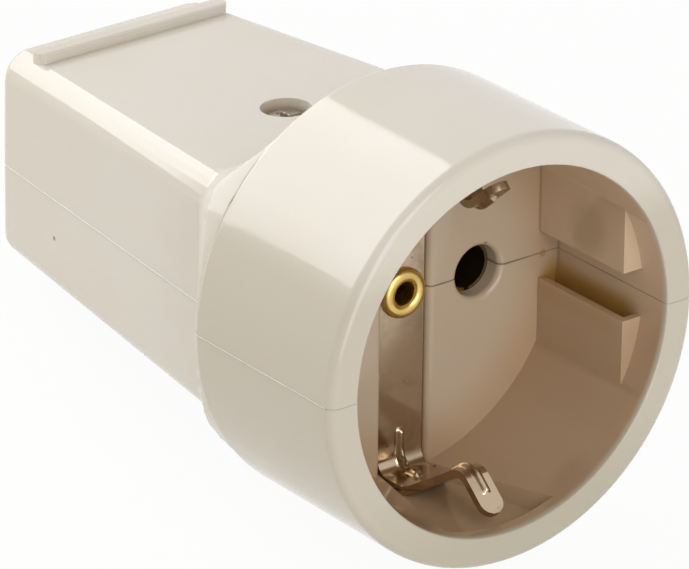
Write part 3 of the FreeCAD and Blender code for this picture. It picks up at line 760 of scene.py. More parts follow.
@dataclass(frozen=True)
class HandleSizes:
    """Sizes of the handle on its outside, in millimetres and degrees."""

    collar_length: float
    length: float
    half_width: float
    side_taper: float
    draft_deg: float
    top: float
    top_taper: float
    bottom: float
    bottom_taper: float

    def share(self, depth: np.ndarray) -> np.ndarray:
        """Share of the handle's length at a depth, nought at the collar and one at the tail."""
        return (depth - self.collar_length) / self.length

    def height(self, depth: np.ndarray, upper: np.ndarray) -> np.ndarray:
        """Height of either half at a depth: its height at the collar less its taper so far."""
        share = self.share(depth)
        return np.where(upper, self.top - self.top_taper * share, self.bottom - self.bottom_taper * share)

    def width(self, depth: np.ndarray, height: np.ndarray) -> np.ndarray:
        """Half width at a depth and a height: that on the parting plane less the draft of the side."""
        lean = math.tan(math.radians(self.draft_deg))
        return self.half_width - self.side_taper * self.share(depth) - np.abs(height) * lean


SOLID_HANDLE = HandleSizes(
    collar_length=22.65,
    length=46.4,
    half_width=19.2,
    side_taper=5.45,
    draft_deg=3.0,
    top=14.35,
    top_taper=1.85,
    bottom=14.35,
    bottom_taper=1.85,
)
PHOTO_HANDLE = HandleSizes(
    collar_length=22.85,
    length=46.9,
    half_width=19.13,
    side_taper=5.5,
    draft_deg=0.4,
    top=14.35,
    top_taper=1.75,
    bottom=12.8,
    bottom_taper=2.3,
)


@dataclass
class HousingHalf:
    """One half of the housing: its solid drawn to the handle seen, with the wide cove and the pocket."""

    node: str
    upper: bool
    edge_round: float
    cove: float = 6.4
    cove_root: float = 1.0
    cove_overlap: float = 0.3
    cove_sink: float = 0.02
    cove_steps: int = 17
    least_round: float = 0.05
    flare_radius: float = 23.0
    still_depth: float = 18.0
    rest_rib_depth: float = 60.0
    rest_rib_share: float = 0.72
    rest_rib_least: float = 0.05
    pocket_half: float = 7.1
    pocket_root: float = 3.6
    pocket_lean: float = 0.5
    pocket_lip: float = 1.9
    pocket_end: float = 17.8
    pocket_reach: float = 20.775
    pocket_wall: float = 18.7
    pocket_level: float = 16.0
    channel_half: float = 3.0
    channel_end: float = 19.35
    channel_overlap: float = 1.0
    parting: float = 0.02
    outline_steps: int = 40
    merge: float = 0.002
    sliver: float = 0.0005

    def drawn(self, points: np.ndarray) -> np.ndarray:
        """Draw the solid's points to the photograph's handle.

        Depths are stretched from the recess floor back. Behind the collar each point, inside walls too,
        keeps its share of the half height and of the half width. The lower rib, on which the part rests,
        keeps its depth and height.

        Args:
            points: Points in the socket's axes.

        Returns:
            The drawn points.
        """
        x, y, z = points.T
        old, new = SOLID_HANDLE, PHOTO_HANDLE
        still = [-self.still_depth, self.still_depth]
        ends = [old.collar_length, old.collar_length + old.length]
        wanted = [new.collar_length, new.collar_length + new.length]
        depth = np.interp(y, still + ends, still + wanted)
        behind = y > old.collar_length
        level = old.height(y, z > 0)
        height = np.where(behind, z * new.height(depth, z > 0) / level, z)
        across = np.where(behind, x * new.width(depth, height) / old.width(y, z), x)
        rib = (z < -level - self.rest_rib_least) & (y > self.rest_rib_depth)
        kept = np.stack([across * self.rest_rib_share, y, z], axis=1)
        return np.where(rib[:, None], kept, np.stack([across, depth, height], axis=1))

    def outline(self, depth: np.ndarray, out: np.ndarray) -> np.ndarray:
        """Outline of the half's outside, moved outwards and kept within the collar's rear edge.

        From the parting plane it runs up the side, round an edge of the given radius and across the top,
        and back down the other side.

        Args:
            depth: Depth of each column.
            out: How far each column is moved outwards.

        Returns:
            Points by step along the outline and column.
        """
        side = 1 if self.upper else -1
        radius = np.maximum(self.edge_round + out, self.least_round)
        middle = PHOTO_HANDLE.height(depth, self.upper) - self.edge_round
        corner = PHOTO_HANDLE.width(depth, middle) - self.edge_round
        angle = np.linspace(0, math.pi / 2, self.outline_steps)[:, None]
        arc_x, arc_z = corner + radius * np.cos(angle), middle + radius * np.sin(angle)
        rise = np.linspace(0, 1, self.outline_steps, endpoint=False)[:, None]
        side_z = self.parting + (middle - self.parting) * rise
        side_x = PHOTO_HANDLE.width(depth, side_z) + out
        top_x = corner * np.linspace(1, 0, self.outline_steps)[1:, None]
        top_z = np.broadcast_to(middle + radius, top_x.shape)
        half_x = np.concatenate([side_x, arc_x, top_x])
        half_z = np.concatenate([side_z, arc_z, top_z])
        shrink = np.minimum(1, self.flare_radius / np.hypot(half_x, half_z))
        half_x, half_z = half_x * shrink, np.maximum(half_z * shrink, self.parting)
        x = np.concatenate([half_x, -half_x[-2::-1]])
        z = np.concatenate([half_z, half_z[-2::-1]]) * side
        return np.stack(np.broadcast_arrays(x, depth, z), axis=-1)

    def cove_body(self, axes: SocketAxes) -> bpy.types.Object:
        """Cove between collar and handle: a quarter round hollow swept along the handle's outline.

        Args:
            axes: The socket's axes.

        Returns:
            The body to join to the half.
        """
        start, root = PHOTO_HANDLE.collar_length, -self.cove_root
        turn = np.linspace(0, math.pi / 2, self.cove_steps)
        depth = start + self.cove * (1 - np.cos(turn))
        out = self.cove * (1 - np.sin(turn)) - self.cove_sink
        front = start - self.cove_overlap
        columns_depth = np.concatenate([[front, front], depth, [depth[-1]]])
        columns_out = np.concatenate([[root, self.cove], out, [root]])
        surface = Surface()
        surface.tube(self.outline(columns_depth[None, :], columns_out[None, :]))
        return surface.body(self.node + "_cove", axes)

    def pocket_body(self, axes: SocketAxes) -> bpy.types.Object:
        """Room for the clip: a flat pocket with leaning sides in the recess wall, and the strap's channel.

        Args:
            axes: The socket's axes.

        Returns:
            The body to cut out of the half.
        """
        side = 1 if self.upper else -1
        surface = Surface()
        channel_start = self.pocket_end - self.channel_overlap
        runs = (
            (self.pocket_half, self.pocket_root, self.pocket_lip, self.pocket_end, self.pocket_lean),
            (self.channel_half, self.channel_half, channel_start, self.channel_end, 0.0),
        )
        levels = np.array([self.pocket_level, self.pocket_reach])[:, None]
        for half, root, front, end, lean in runs:
            ring = np.array([[-half, front], [half, front], [root, end], [-root, end]])
            across = ring[:, 0] + np.sign(ring[:, 0]) * lean * (self.pocket_wall - levels)
            grid = np.stack(np.broadcast_arrays(across, ring[:, 1], levels * side), axis=-1)
            surface.tube(grid)
        return surface.body(self.node + "_pocket", axes)

    def carve(self, piece: bpy.types.Object, other: bpy.types.Object, operation: str) -> None:
        """Join another body to a piece or cut it out, and put that body away.

        Args:
            piece: The piece that changes.
            other: The body.
            operation: UNION or DIFFERENCE.
        """
        step = piece.modifiers.new("carve", "BOOLEAN")
        step.operation = operation
        step.object = other
        step.solver = "EXACT"
        step.use_self = operation == "DIFFERENCE"
        done = piece.evaluated_get(bpy.context.evaluated_depsgraph_get())
        mesh = bpy.data.meshes.new_from_object(done)
        piece.modifiers.clear()
        piece.data = mesh
        bpy.data.objects.remove(other)

    def build(self, axes: SocketAxes) -> bpy.types.Object:
        """Make the half from a merged copy of its solid.

        Args:
            axes: The socket's axes.

        Returns:
            The piece, not yet dressed.
        """
        mesh = frame["nodes"][self.node].data.copy()
        points = np.empty(3 * len(mesh.vertices))
        mesh.vertices.foreach_get("co", points)
        points = axes.to_row(self.drawn(axes.from_row(points.reshape(-1, 3))))
        mesh.vertices.foreach_set("co", points.ravel())
        work = bmesh.new()
        work.from_mesh(mesh)
        bmesh.ops.remove_doubles(work, verts=work.verts, dist=self.merge * MM)
        bmesh.ops.dissolve_degenerate(work, edges=work.edges, dist=self.sliver * MM)
        work.to_mesh(mesh)
        work.free()
        piece = placed(self.node + "_moulding", mesh)
        self.carve(piece, self.cove_body(axes), "UNION")
        self.carve(piece, self.pocket_body(axes), "DIFFERENCE")
        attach(piece, "root")
        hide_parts(self.node)
        LOG.info("built %s", piece.name)
        return piece


@dataclass
class PartingFlash:
    """Fine raised line that the mould leaves along the parting plane, from the mouth to the tail."""

    collar_radius: float = 23.6
    rear_radius: float = 23.35
    front: float = 1.0
    rear_gap: float = 0.35
    cove_gap: float = 0.9
    tail_gap: float = 0.9
    radius: float = 0.11
    sink: float = 0.03
    sides: int = 8
    collar_steps: int = 40
    cove_steps: int = 24
    side_steps: int = 60
    smooth_deg: float = 60.0

    def build(self, axes: SocketAxes, material: bpy.types.Material) -> None:
        """Sweep a round section along the housing's outline on the parting plane, once on each side.

        Args:
            axes: The socket's axes.
            material: Finish.
        """
        sizes = PHOTO_HANDLE
        cove = HousingHalf.cove
        foot = sizes.collar_length + cove
        tail = sizes.collar_length + sizes.length - self.tail_gap
        collar_y = np.linspace(self.front, sizes.collar_length - self.rear_gap, self.collar_steps)
        collar_x = np.interp(collar_y, [0, sizes.collar_length], [self.collar_radius, self.rear_radius])
        cove_y = np.linspace(sizes.collar_length + self.cove_gap, foot, self.cove_steps)
        hollow = cove - np.sqrt(cove**2 - (foot - cove_y) ** 2)
        cove_x = sizes.width(cove_y, 0 * cove_y) + hollow
        side_y = np.linspace(foot, tail, self.side_steps)[1:]
        side_x = sizes.width(side_y, 0 * side_y)
        runs = ((collar_x, collar_y), (np.concatenate([cove_x, side_x]), np.concatenate([cove_y, side_y])))
        angle = round_angles(self.sides)
        for name, side in (("left", -1), ("right", 1)):
            surface = Surface()
            for x, y in runs:
                across = side * (x[:, None] - self.sink + self.radius * np.cos(angle))
                depth = np.broadcast_to(y[:, None], across.shape)
                rise = np.broadcast_to(self.radius * np.sin(angle), across.shape)
                surface.tube(np.stack([across, depth, rise], axis=-1))
            piece = surface.piece(name + "_parting_flash", axes, material, self.smooth_deg)


@dataclass
class EarthStrap:
    """Pressed nickel-plated strap with a spring clip at each end, pressed beads and a hole for the rivet."""

    depth: float = 18.925
    foot_height: float = 20.2
    rise_depth: float = 14.0
    hump_depth: float = 6.8
    hump_height: float = 15.45
    tip_depth: float = 2.6
    tip_height: float = 19.1
    upper_set: float = 1.5
    foot_round: float = 2.0
    rise_round: float = 1.5
    hump_round: float = 1.7
    thickness: float = 0.85
    half_width: float = 2.85
    root_half: float = 2.45
    tongue_half: float = 1.4
    shoulder_depth: float = 14.6
    neck_depth: float = 13.9
    taper_end: float = 7.7
    tip_round: float = 1.35
    tip_share: float = 0.97
    hole_radius: float = 1.8
    hole_rows: int = 7
    hole_columns: int = 6
    hole_blend: float = 2.5
    gusset_half: float = 0.56
    gusset_height: float = 0.52
    gusset_span: Span = (-4.3, 3.1)
    gusset_swell: float = 1.1
    swell_reach: float = 2.4
    ridge_half: float = 0.62
    ridge_height: float = 0.48
    ridge_span: Span = (-2.8, 3.2)
    bead_blur: float = 0.4
    step: float = 0.15
    columns: int = 36
    edge: float = 0.16
    edge_deg: float = 50.0
    smooth_deg: float = 40.0

    def middle_line(self, inset: float) -> np.ndarray:
        """Points (depth, height) along the sheet's middle from its centre to a tip, as if on the lower side.

        Args:
            inset: How far the hump and the tip are set in towards the axis.

        Returns:
            Array of points.
        """
        corners = np.array(
            [
                [self.depth, 0.0],
                [self.depth, -self.foot_height],
                [self.rise_depth, -self.foot_height],
                [self.hump_depth, inset - self.hump_height],
                [self.tip_depth, inset - self.tip_height],
            ]
        )
        radii = np.array([0.0, self.foot_round, self.rise_round, self.hump_round, 0.0])
        return rounded_line(corners, radii, self.step)

    def half_widths(self, line: np.ndarray, gone: np.ndarray) -> np.ndarray:
        """Half width along the line: full on the floor, a shoulder, a taper and a round tip.

        Args:
            line: Points (depth, height) along the sheet's middle.
            gone: Distance of each point along the line.

        Returns:
            Half width at each point.
        """
        depths = [self.taper_end, self.neck_depth, self.shoulder_depth]
        widths = [self.tongue_half, self.root_half, self.half_width]
        plan = np.interp(line[:, 0], depths, widths)
        past = np.clip(gone - (gone[-1] - self.tip_round), 0, self.tip_round * self.tip_share)
        return plan * np.sqrt(1 - (past / self.tip_round) ** 2)

    def rows(self, inset: float) -> np.ndarray:
        """Rows of one half of the strap, from its centre to a tip, as if on the lower side.

        The beads are windows along the sheet: the gusset through the foot bend swells in its middle, and
        the ridge over the hump ends short of the tip.

        Args:
            inset: How far the hump and the tip are set in towards the axis.

        Returns:
            Columns of depth, height, distance along the sheet, half width, gusset height and ridge height.
        """
        line = self.middle_line(inset)
        gone = run_length(line)
        foot = gone[np.argmin(np.hypot(line[:, 0] - self.depth, line[:, 1] + self.foot_height))]
        hump = gone[np.argmax(np.where(line[:, 0] < self.rise_depth, line[:, 1], -np.inf))]
        swell = 1 + self.gusset_swell * bell(gone - foot, self.swell_reach)
        gusset_ends = (foot + self.gusset_span[0], foot + self.gusset_span[1])
        ridge_ends = (hump + self.ridge_span[0], hump + self.ridge_span[1])
        gusset = self.gusset_height * swell * window(gone, *gusset_ends, self.bead_blur)
        ridge = self.ridge_height * window(gone, *ridge_ends, self.bead_blur)
        return np.column_stack([line, gone, self.half_widths(line, gone), gusset, ridge])

    def build(self, axes: SocketAxes, material: bpy.types.Material) -> bpy.types.Object:
        """Make the strap.

        A point of either face is the middle line's point, moved across by its column's share of the half
        width and along the line's normal by half the thickness and the beads' height. Near the rivet the
        grid's squares are drawn out to a circle, and the cells inside it are left open.

        Args:
            axes: The socket's axes.
            material: Finish.

        Returns:
            The piece.
        """
        upper = self.rows(self.upper_set)[:0:-1] * [1, -1, -1, 1, 1, 1]
        rows = np.concatenate([upper, self.rows(0.0)])
        line, gone, widths = rows[:, :2], rows[:, 2], rows[:, 3]
        heading = np.gradient(line, axis=0)
        heading /= np.linalg.norm(heading, axis=1)[:, None]
        normal = np.stack([heading[:, 1], -heading[:, 0]], axis=1)
        share = np.linspace(-1, 1, self.columns + 1)
        across = widths[:, None] * share[None, :]
        height = rows[:, 4:5] * bell(across, self.gusset_half) + rows[:, 5:] * bell(across, self.ridge_half)
        reach = np.maximum(
            np.abs(gone[:, None]) / (self.hole_rows * self.step),
            np.abs(across) / (self.hole_columns * 2 * self.half_width / self.columns),
        )
        span = np.hypot(gone[:, None], across) + 1e-9
        pull = np.clip((reach - 1) / (self.hole_blend - 1), 0, 1)
        drawn = pull + (1 - pull) * self.hole_radius / span
        along = gone[:, None] * drawn
        across = across * drawn
        surface = Surface()
        faces = []
        for side in (1, -1):
            shift = side * self.thickness / 2 + height
            depth = np.interp(along, gone, line[:, 0]) + normal[:, :1] * shift
            rise = np.interp(along, gone, line[:, 1]) + normal[:, 1:] * shift
            faces.append(surface.add(np.stack([across, depth, rise], axis=-1)))
        inside = reach <= 1 + 1e-6
        hole = inside[:-1, :-1] & inside[1:, :-1] & inside[:-1, 1:] & inside[1:, 1:]
        rows, columns = np.nonzero(hole)
        top, bottom = rows.min(), rows.max() + 1
        left, right = columns.min(), columns.max() + 1
        for face in faces:
            surface.quads(face, ~hole)
        rims = [face[top : bottom + 1, left : right + 1] for face in faces] + faces
        for one, two in ((rims[0], rims[1]), (rims[2], rims[3])):
            for edge in (np.s_[0, :], np.s_[-1, :], np.s_[:, 0], np.s_[:, -1]):
                surface.quads(np.stack([one[edge], two[edge]]))
        piece = surface.piece("earth_strap_sheet", axes, material, self.smooth_deg)
        soft_edges(piece, self.edge, self.edge_deg)
        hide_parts("earth_strap")
        return piece


@dataclass
class EarthRivet:
    """Hollow brass rivet: a rolled flange on the strap, a tube through the floor and a spread end."""

    front: float = 17.7
    seat: float = 18.5
    rear: float = 23.2
    end: float = 23.7
    flange_radius: float = 2.75
    tube_radius: float = 1.75
    bore_radius: float = 1.25
    roll_radius: float = 2.4
    proud: float = 0.02
    step: float = 0.09
    turns: int = 96
    smooth_deg: float = 45.0

    def build(self, axes: SocketAxes, material: bpy.types.Material) -> bpy.types.Object:
        """Turn the rivet's outline about its axis; the outline is straight runs with rounded corners.

        Args:
            axes: The socket's axes.
            material: Finish.

        Returns:
            The piece.
        """
        corners = np.array(
            [
                [self.bore_radius, self.end],
                [self.bore_radius, self.front - self.proud],
                [self.flange_radius, self.front - self.proud],
                [self.flange_radius, self.seat],
                [self.tube_radius, self.seat],
                [self.tube_radius, self.rear],
                [self.roll_radius, self.rear],
                [self.roll_radius, self.end],
                [self.bore_radius, self.end],
            ]
        )
        radii = np.array([0.0, 0.62, 0.70, 0.08, 0.05, 0.05, 0.08, 0.2, 0.0])
        line = rounded_line(corners, radii, self.step)[:-1]
        angle = round_angles(self.turns)
        radius = line[:, :1]
        grid = np.stack(
            np.broadcast_arrays(radius * np.cos(angle), line[:, 1:], radius * np.sin(angle)), axis=-1
        )
        surface = Surface()
        surface.tube(grid, capped=False)
        piece = surface.piece("earth_rivet_eyelet", axes, material, self.smooth_deg)
        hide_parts("earth_rivet")
        return piece


@dataclass
class Screw:
    """Machine screw that points down: rounded head with a slot or a cross, and a threaded shank."""

    node: str
    x: float
    y: float
    seat: float
    length: float
    drive: Drive
    slot: str
    head_radius: float = 2.45
    head_height: float = 1.8
    head_round: float = 0.35
    shank_radius: float = 1.5
    thread_depth: float = 0.22
    pitch: float = 0.5
    recess_half: float = 0.36
    recess_reach: float = 1.85
    recess_depth: float = 0.95
    recess_blur: float = 0.12
    recess_taper: float = 0.35
    crown: float = 0.06
    rim_drop: float = 0.02
    core: float = 0.02
    point: float = 0.3
    thread_gap: float = 0.6
    thread_blur: float = 0.4
    step: float = 0.055
    turns: int = 96
    smooth_deg: float = 40.0

    def recess(self, across: np.ndarray, aside: np.ndarray) -> np.ndarray:
        """Depth of the drive recess: full inside a cross or slot outline, less outwards in a cross.

        Args:
            across: Distance from the head's middle across the socket.
            aside: Distance from the head's middle along the socket's axis.

        Returns:
            Depth at each point.
        """
        wide, long = np.abs(across), np.abs(aside)
        reach = self.recess_reach if self.drive is Drive.CROSS else 2 * self.head_radius
        outside = np.maximum(wide - self.recess_half, long - reach)
        if self.drive is Drive.CROSS:
            outside = np.minimum(outside, np.maximum(wide - reach, long - self.recess_half))
        inside = np.clip(0.5 - outside / self.recess_blur, 0, 1)
        taper = 1.0
        if self.drive is Drive.CROSS:
            taper = 1 - self.recess_taper * np.hypot(across, aside) / self.head_radius
        return self.recess_depth * inside * taper

    def build(self, axes: SocketAxes, material: bpy.types.Material) -> bpy.types.Object:
        """Make the screw.

        The outline runs from the head's middle over its rim and down the shank. On the head the height
        drops by the recess's depth; on the shank the radius swings by a triangle wave of height over
        pitch less the share of a turn, which makes the thread.

        Args:
            axes: The socket's axes.
            material: Finish.

        Returns:
            The piece.
        """
        top = self.seat + self.head_height
        low = self.seat - self.length
        corners = np.array(
            [
                [self.core, top + self.crown],
                [self.head_radius, top - self.rim_drop],
                [self.head_radius, self.seat],
                [self.shank_radius, self.seat],
                [self.shank_radius, low + self.point],
                [self.shank_radius - self.point, low],
                [self.core, low],
            ]
        )
        radii = np.array([0.0, self.head_round, 0.08, 0.05, 0.05, 0.05, 0.0])
        line = rounded_line(corners, radii, self.step)
        angle = round_angles(self.turns)
        radius = np.broadcast_to(line[:, :1], (len(line), self.turns))
        rise = np.broadcast_to(line[:, 1:], radius.shape)
        on_head = rise > self.seat + self.head_height / 2
        across, aside = radius * np.cos(angle), radius * np.sin(angle)
        rise = rise - np.where(on_head & (radius < self.head_radius + 1e-3), self.recess(across, aside), 0)
        wave = thread_wave(rise, angle, self.pitch)
        cut = window(line[:, 1], low + self.point, self.seat - self.thread_gap, self.thread_blur)[:, None]
        on_shank = np.abs(radius - self.shank_radius) < 1e-3
        radius = radius - np.where(on_shank, self.thread_depth * wave * cut, 0)
        grid = np.stack([self.x + radius * np.cos(angle), self.y + radius * np.sin(angle), rise], axis=-1)
        surface = Surface()
        surface.tube(grid)
        piece = surface.piece(self.node + "_turned", axes, material, self.smooth_deg)
        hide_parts(self.node)
        return piece


@dataclass
class HousingNut:
    """Hexagon nut let into the underside, with chamfered corners and a threaded hole."""

    y: float
    bottom: float
    thickness: float = 2.4
    across_flats: float = 5.5
    hole_radius: float = 1.55
    chamfer: float = 0.35
    corner_start: float = 0.02
    corner_width: float = 0.42
    thread_depth: float = 0.2
    thread_gap: float = 0.2
    pitch: float = 0.5
    turns: int = 120
    outer_steps: int = 25
    inner_steps: int = 49
    smooth_deg: float = 30.0

    def build(self, axes: SocketAxes, material: bpy.types.Material) -> bpy.types.Object:
        """Make the nut.

        The outside radius is the smaller of the hexagon's, half the width across flats over the cosine
        of the angle from the nearest flat, and of a cone at both ends; the hole's radius swings with the
        thread.

        Args:
            axes: The socket's axes.
            material: Finish.

        Returns:
            The piece.
        """
        angle = round_angles(self.turns)
        sixth = math.pi / 3
        flat = self.across_flats / 2 / np.cos((angle + sixth / 2) % sixth - sixth / 2)
        outer_rise = np.linspace(0, self.thickness, self.outer_steps)[:, None]
        end = np.minimum(outer_rise, self.thickness - outer_rise)
        cone = self.across_flats / 2 + self.corner_start + end * (self.corner_width / self.chamfer)
        outer = np.minimum(flat, cone)
        inner_rise = np.linspace(self.thickness, 0, self.inner_steps)[:, None]
        wave = thread_wave(inner_rise, angle, self.pitch)
        cut = window(inner_rise, self.thread_gap, self.thickness - self.thread_gap, self.thread_gap)
        inner = self.hole_radius + self.thread_depth * wave * cut
        radius = np.concatenate([outer, inner])
        rise = np.broadcast_to(np.concatenate([outer_rise, inner_rise]), radius.shape) + self.bottom
        grid = np.stack([radius * np.cos(angle), self.y + radius * np.sin(angle), rise], axis=-1)
        surface = Surface()
        surface.tube(grid, capped=False)
        piece = surface.piece("housing_nut_turned", axes, material, self.smooth_deg)
        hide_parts("housing_nut")
        return piece


@dataclass(frozen=True)
class PhotoCamera:
    """Camera at the photograph's place, in the socket's axes, in millimetres."""

    place: Point = (-510.466, -621.477, 371.391)
    forward: Point = (0.562918, 0.716263, -0.412421)
    up: Point = (0.244279, 0.332519, 0.910911)
    focal_px: float = 8770.5
    width_px: float = 689.0
    sensor: float = 36.0

    def build(self, axes: SocketAxes) -> None:
        """Make the camera and set it as the scene's.

        Args:
            axes: The socket's axes.
        """
        data = bpy.data.cameras.new("photo_camera")
        data.sensor_width = self.sensor
        data.lens = self.focal_px / self.width_px * self.sensor
        data.clip_start, data.clip_end = 0.01, 20.0
        camera = placed("photo_camera", data)
        back = -Vector(axes.direction(*self.forward))
        up = Vector(axes.direction(*self.up))
        right = up.cross(back).normalized()
        up = back.cross(right)
        turn = Matrix((right, up, back)).transposed().to_4x4()
        camera.matrix_world = Matrix.Translation(axes.spot(*self.place)) @ turn
        bpy.context.scene.camera = camera


@dataclass(frozen=True)
class SoftBox:
    """Rectangular soft light, placed by a direction from the part in the socket's axes."""

    name: str
    direction: Point
    distance: float
    width: float
    height: float
    power: float
    across: Point = (1.0, 0.0, 0.0)

    def build(self, axes: SocketAxes, target: Vector) -> None:
        """Make the light, with its width along the given direction.

        Args:
            axes: The socket's axes.
            target: Point that it is aimed at.
        """
        data = bpy.data.lights.new(self.name, "AREA")
        data.shape = "RECTANGLE"
        data.size, data.size_y = self.width, self.height
        data.energy = self.power
        light = placed(self.name, data)
        away = Vector(axes.direction(*self.direction)).normalized()
        up = away.cross(Vector(axes.direction(*self.across))).normalized()
        turn = Matrix((up.cross(away), up, away)).transposed().to_4x4()
        light.matrix_world = Matrix.Translation(target + away * self.distance) @ turn


@dataclass(frozen=True)
class Studio:
    """Pale floor, plain surroundings and soft lights."""

    aim: Point = (0.0, 20.0, 0.0)
    floor_half: float = 3.0
    floor_gap: float = 0.02
    floor_tone: Colour = (0.90, 0.875, 0.83, 1.0)
    floor_glow: float = 0.955
    fill: float = 0.355
    fill_tone: Colour = (1.0, 0.97, 0.925, 1.0)
    lights: tuple[SoftBox, ...] = (
        SoftBox("back_box", (-0.21, 0.75, 0.51), 0.70, 0.71, 0.60, 4.1, (0.923, 0.0, 0.385)),
        SoftBox("low_box", (-0.20, -0.95, 0.02), 0.90, 0.50, 0.40, 1.6),
        SoftBox("front_box", (-0.18, -0.85, 0.52), 0.90, 0.50, 0.50, 2.1),
    )

    def seen(self, graph: Graph) -> Channel:
        """One for rays from the camera, from gloss and through glass, otherwise nought.

        Args:
            graph: Graph of the floor's material or of the world.

        Returns:
            The share.
        """
        path = graph.tree.nodes.new("ShaderNodeLightPath")
        names = ("Is Camera Ray", "Is Glossy Ray", "Is Transmission Ray")
        camera, glossy, clear = (Channel(graph, path.outputs[name]) for name in names)
        return camera.larger(glossy).larger(clear)

    def build(self, axes: SocketAxes) -> None:
        """Make the floor, the world and the lights.

        Args:
            axes: The socket's axes.
        """
        size = self.floor_half
        corners = np.array([[-size, -size, 0], [size, -size, 0], [size, size, 0], [-size, size, 0]])
        mesh = bpy.data.meshes.new("floor")
        mesh.from_pydata((corners - [0, 0, self.floor_gap * MM]).tolist(), [], [[0, 1, 2, 3]])
        material = bpy.data.materials.new("pale_floor")
        graph = Graph(material)
        matt = graph.node("ShaderNodeBsdfDiffuse", {}, {"Color": self.floor_tone})
        glow = graph.node("ShaderNodeEmission", {}, {"Color": (1.0, 1.0, 1.0, 1.0), "Strength": 1.0})
        share = self.seen(graph) * self.floor_glow
        graph.finish(graph.node("ShaderNodeMixShader", {}, {0: share, 1: matt, 2: glow}))
        mesh.materials.append(material)
        floor = placed("floor", mesh)
        world = bpy.data.worlds.new("studio")
        bpy.context.scene.world = world
        graph = Graph(world)
        seen = self.seen(graph)
        tone = graph.blend(seen, self.fill_tone, (1.0, 1.0, 1.0, 1.0))
        strength = self.fill + (1.0 - self.fill) * seen
        sky = graph.node("ShaderNodeBackground", {}, {"Color": tone, "Strength": strength})
        graph.finish(sky, "ShaderNodeOutputWorld")
        target = Vector(axes.spot(*self.aim))
        for light in self.lights:
            light.build(axes, target)


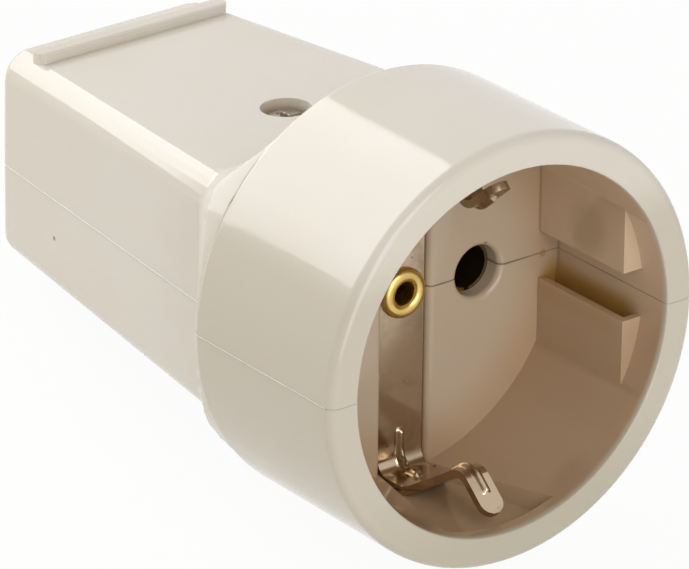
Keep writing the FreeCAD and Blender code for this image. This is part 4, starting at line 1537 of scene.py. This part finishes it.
@dataclass
class InlineSocket:
    """The whole connector: the two housing halves and everything that they hold."""

    axes: SocketAxes
    screw_y: float = 37.9
    screw_sink: float = 1.0
    nut_sink: float = 1.0
    clamp_y: float = 55.05
    shell_edge: float = 0.12
    plain_edge: float = 0.1

    def finishes(self) -> dict[str, bpy.types.Material]:
        """Make every finish of the part.

        Returns:
            The materials by slot name, and dark_brass for the sleeves.
        """
        ivory = IvoryPlastic()
        metals = [
            # The nickel's colours are tinted brown as a painted reflection of the recess's walls.
            MetalFinish("nickel_plate", (0.51, 0.40, 0.28, 1), (0.24, 0.165, 0.10, 1), 0.17),
            MetalFinish("zinc_steel", (0.52, 0.48, 0.42, 1), (0.20, 0.16, 0.12, 1), 0.20),
            MetalFinish("spring_steel", (0.42, 0.43, 0.45, 1), (0.22, 0.21, 0.20, 1), 0.30),
            MetalFinish("brass", (0.80, 0.58, 0.20, 1), (0.45, 0.27, 0.08, 1), 0.24),
            MetalFinish("dark_brass", (0.20, 0.14, 0.07, 1), (0.08, 0.06, 0.04, 1), 0.38),
        ]
        made = {metal.name: metal.material() for metal in metals}
        handle_speck = Speck((-14.9, 58.5, -4.4), 0.34, ivory.dirt)
        collar_speck = Speck((-5.0, 11.1, -23.06), 0.30, ivory.dirt)
        pin_hole_speck = Speck((10.4, 17.75, 2.95), 0.35, ivory.dirt)
        # Spots of painted shade: in the gap between the right ribs at the floor, over the ejector pin's shallow
        # dip, and in the screw's hole.
        rib_gap_shade = Speck((18.0, 17.8, -0.1), 0.6, ivory.painted_amber_shade)
        ejector_dip_shade = Speck((17.4, 10.0, 5.8), 4.0, (0.57, 0.44, 0.30, 1.0))
        screw_hole_shade = Speck((0.0, self.screw_y + 1.2, 11.6), 3.4, (0.62, 0.46, 0.29, 1.0))
        specks = [handle_speck, collar_speck, rib_gap_shade, pin_hole_speck, ejector_dip_shade, screw_hole_shade]
        made["housing"] = ivory.material(self.axes, specks)
        made["inner_plastic"] = IvoryPlastic(name="inner_ivory", roughness=0.34).material(self.axes, [])
        return made

    def nut_bottom(self) -> float:
        """Height of the nut's lower face, sunk into the handle's underside."""
        return self.nut_sink - float(PHOTO_HANDLE.height(self.screw_y, False))

    def screws(self) -> list[Screw]:
        """All the screws: the housing's sunk into the handle seen, the others where their solids are.

        Returns:
            The screws.
        """
        seat = float(PHOTO_HANDLE.height(self.screw_y, True)) - self.screw_sink - Screw.head_height
        shank = seat - self.nut_bottom()
        made = [
            Screw("housing_screw", 0.0, self.screw_y, seat, shank, Drive.CROSS, "zinc_steel"),
            Screw("earth_screw", 0.0, 27.95, -3.4, 6.0, Drive.SLOT, "nickel_plate"),
        ]
        for name, side in (("left", -1), ("right", 1)):
            terminal, clamp = name + "_terminal_screw", name + "_clamp_screw"
            made.append(Screw(terminal, 9.5 * side, 42.8, 4.4, 5.4, Drive.SLOT, "nickel_plate"))
            made.append(Screw(clamp, 8.8 * side, self.clamp_y, 2.2, 10.2, Drive.SLOT, "zinc_steel"))
        return made

    def build(self) -> None:
        """Dress the solids and build the fine pieces."""
        finishes = self.finishes()
        dressing = CadDressing()
        shading = dressing.shading()
        for half in (HousingHalf("upper_shell", True, 3.2), HousingHalf("lower_shell", False, 3.0)):
            dressing.dress(half.build(self.axes), finishes["housing"], shading, self.shell_edge)
        PartingFlash().build(self.axes, finishes["housing"])
        plain = {
            "cord_clamp": "inner_plastic",
            "earth_terminal": "brass",
            "earth_washer": "nickel_plate",
            "left_sleeve": "dark_brass",
            "right_sleeve": "dark_brass",
            "left_sleeve_spring": "spring_steel",
            "right_sleeve_spring": "spring_steel",
            "left_terminal": "brass",
            "right_terminal": "brass",
        }
        for name, slot in plain.items():
            dressing.dress(frame["nodes"][name], finishes[slot], shading, self.plain_edge)
        EarthStrap().build(self.axes, finishes["nickel_plate"])
        EarthRivet().build(self.axes, finishes["brass"])
        for screw in self.screws():
            screw.build(self.axes, finishes[screw.slot])
        HousingNut(self.screw_y, self.nut_bottom()).build(self.axes, finishes["zinc_steel"])


def main() -> None:
    """Build the part, the studio and the camera, and report each piece."""
    logging.basicConfig(level=logging.INFO, format="%(name)s: %(message)s")
    bpy.context.scene.view_settings.view_transform = "Standard"
    axes = SocketAxes.from_record(frame["record"])
    PhotoCamera().build(axes)
    Studio().build(axes)
    InlineSocket(axes).build()


if __name__ == "__main__":
    main()
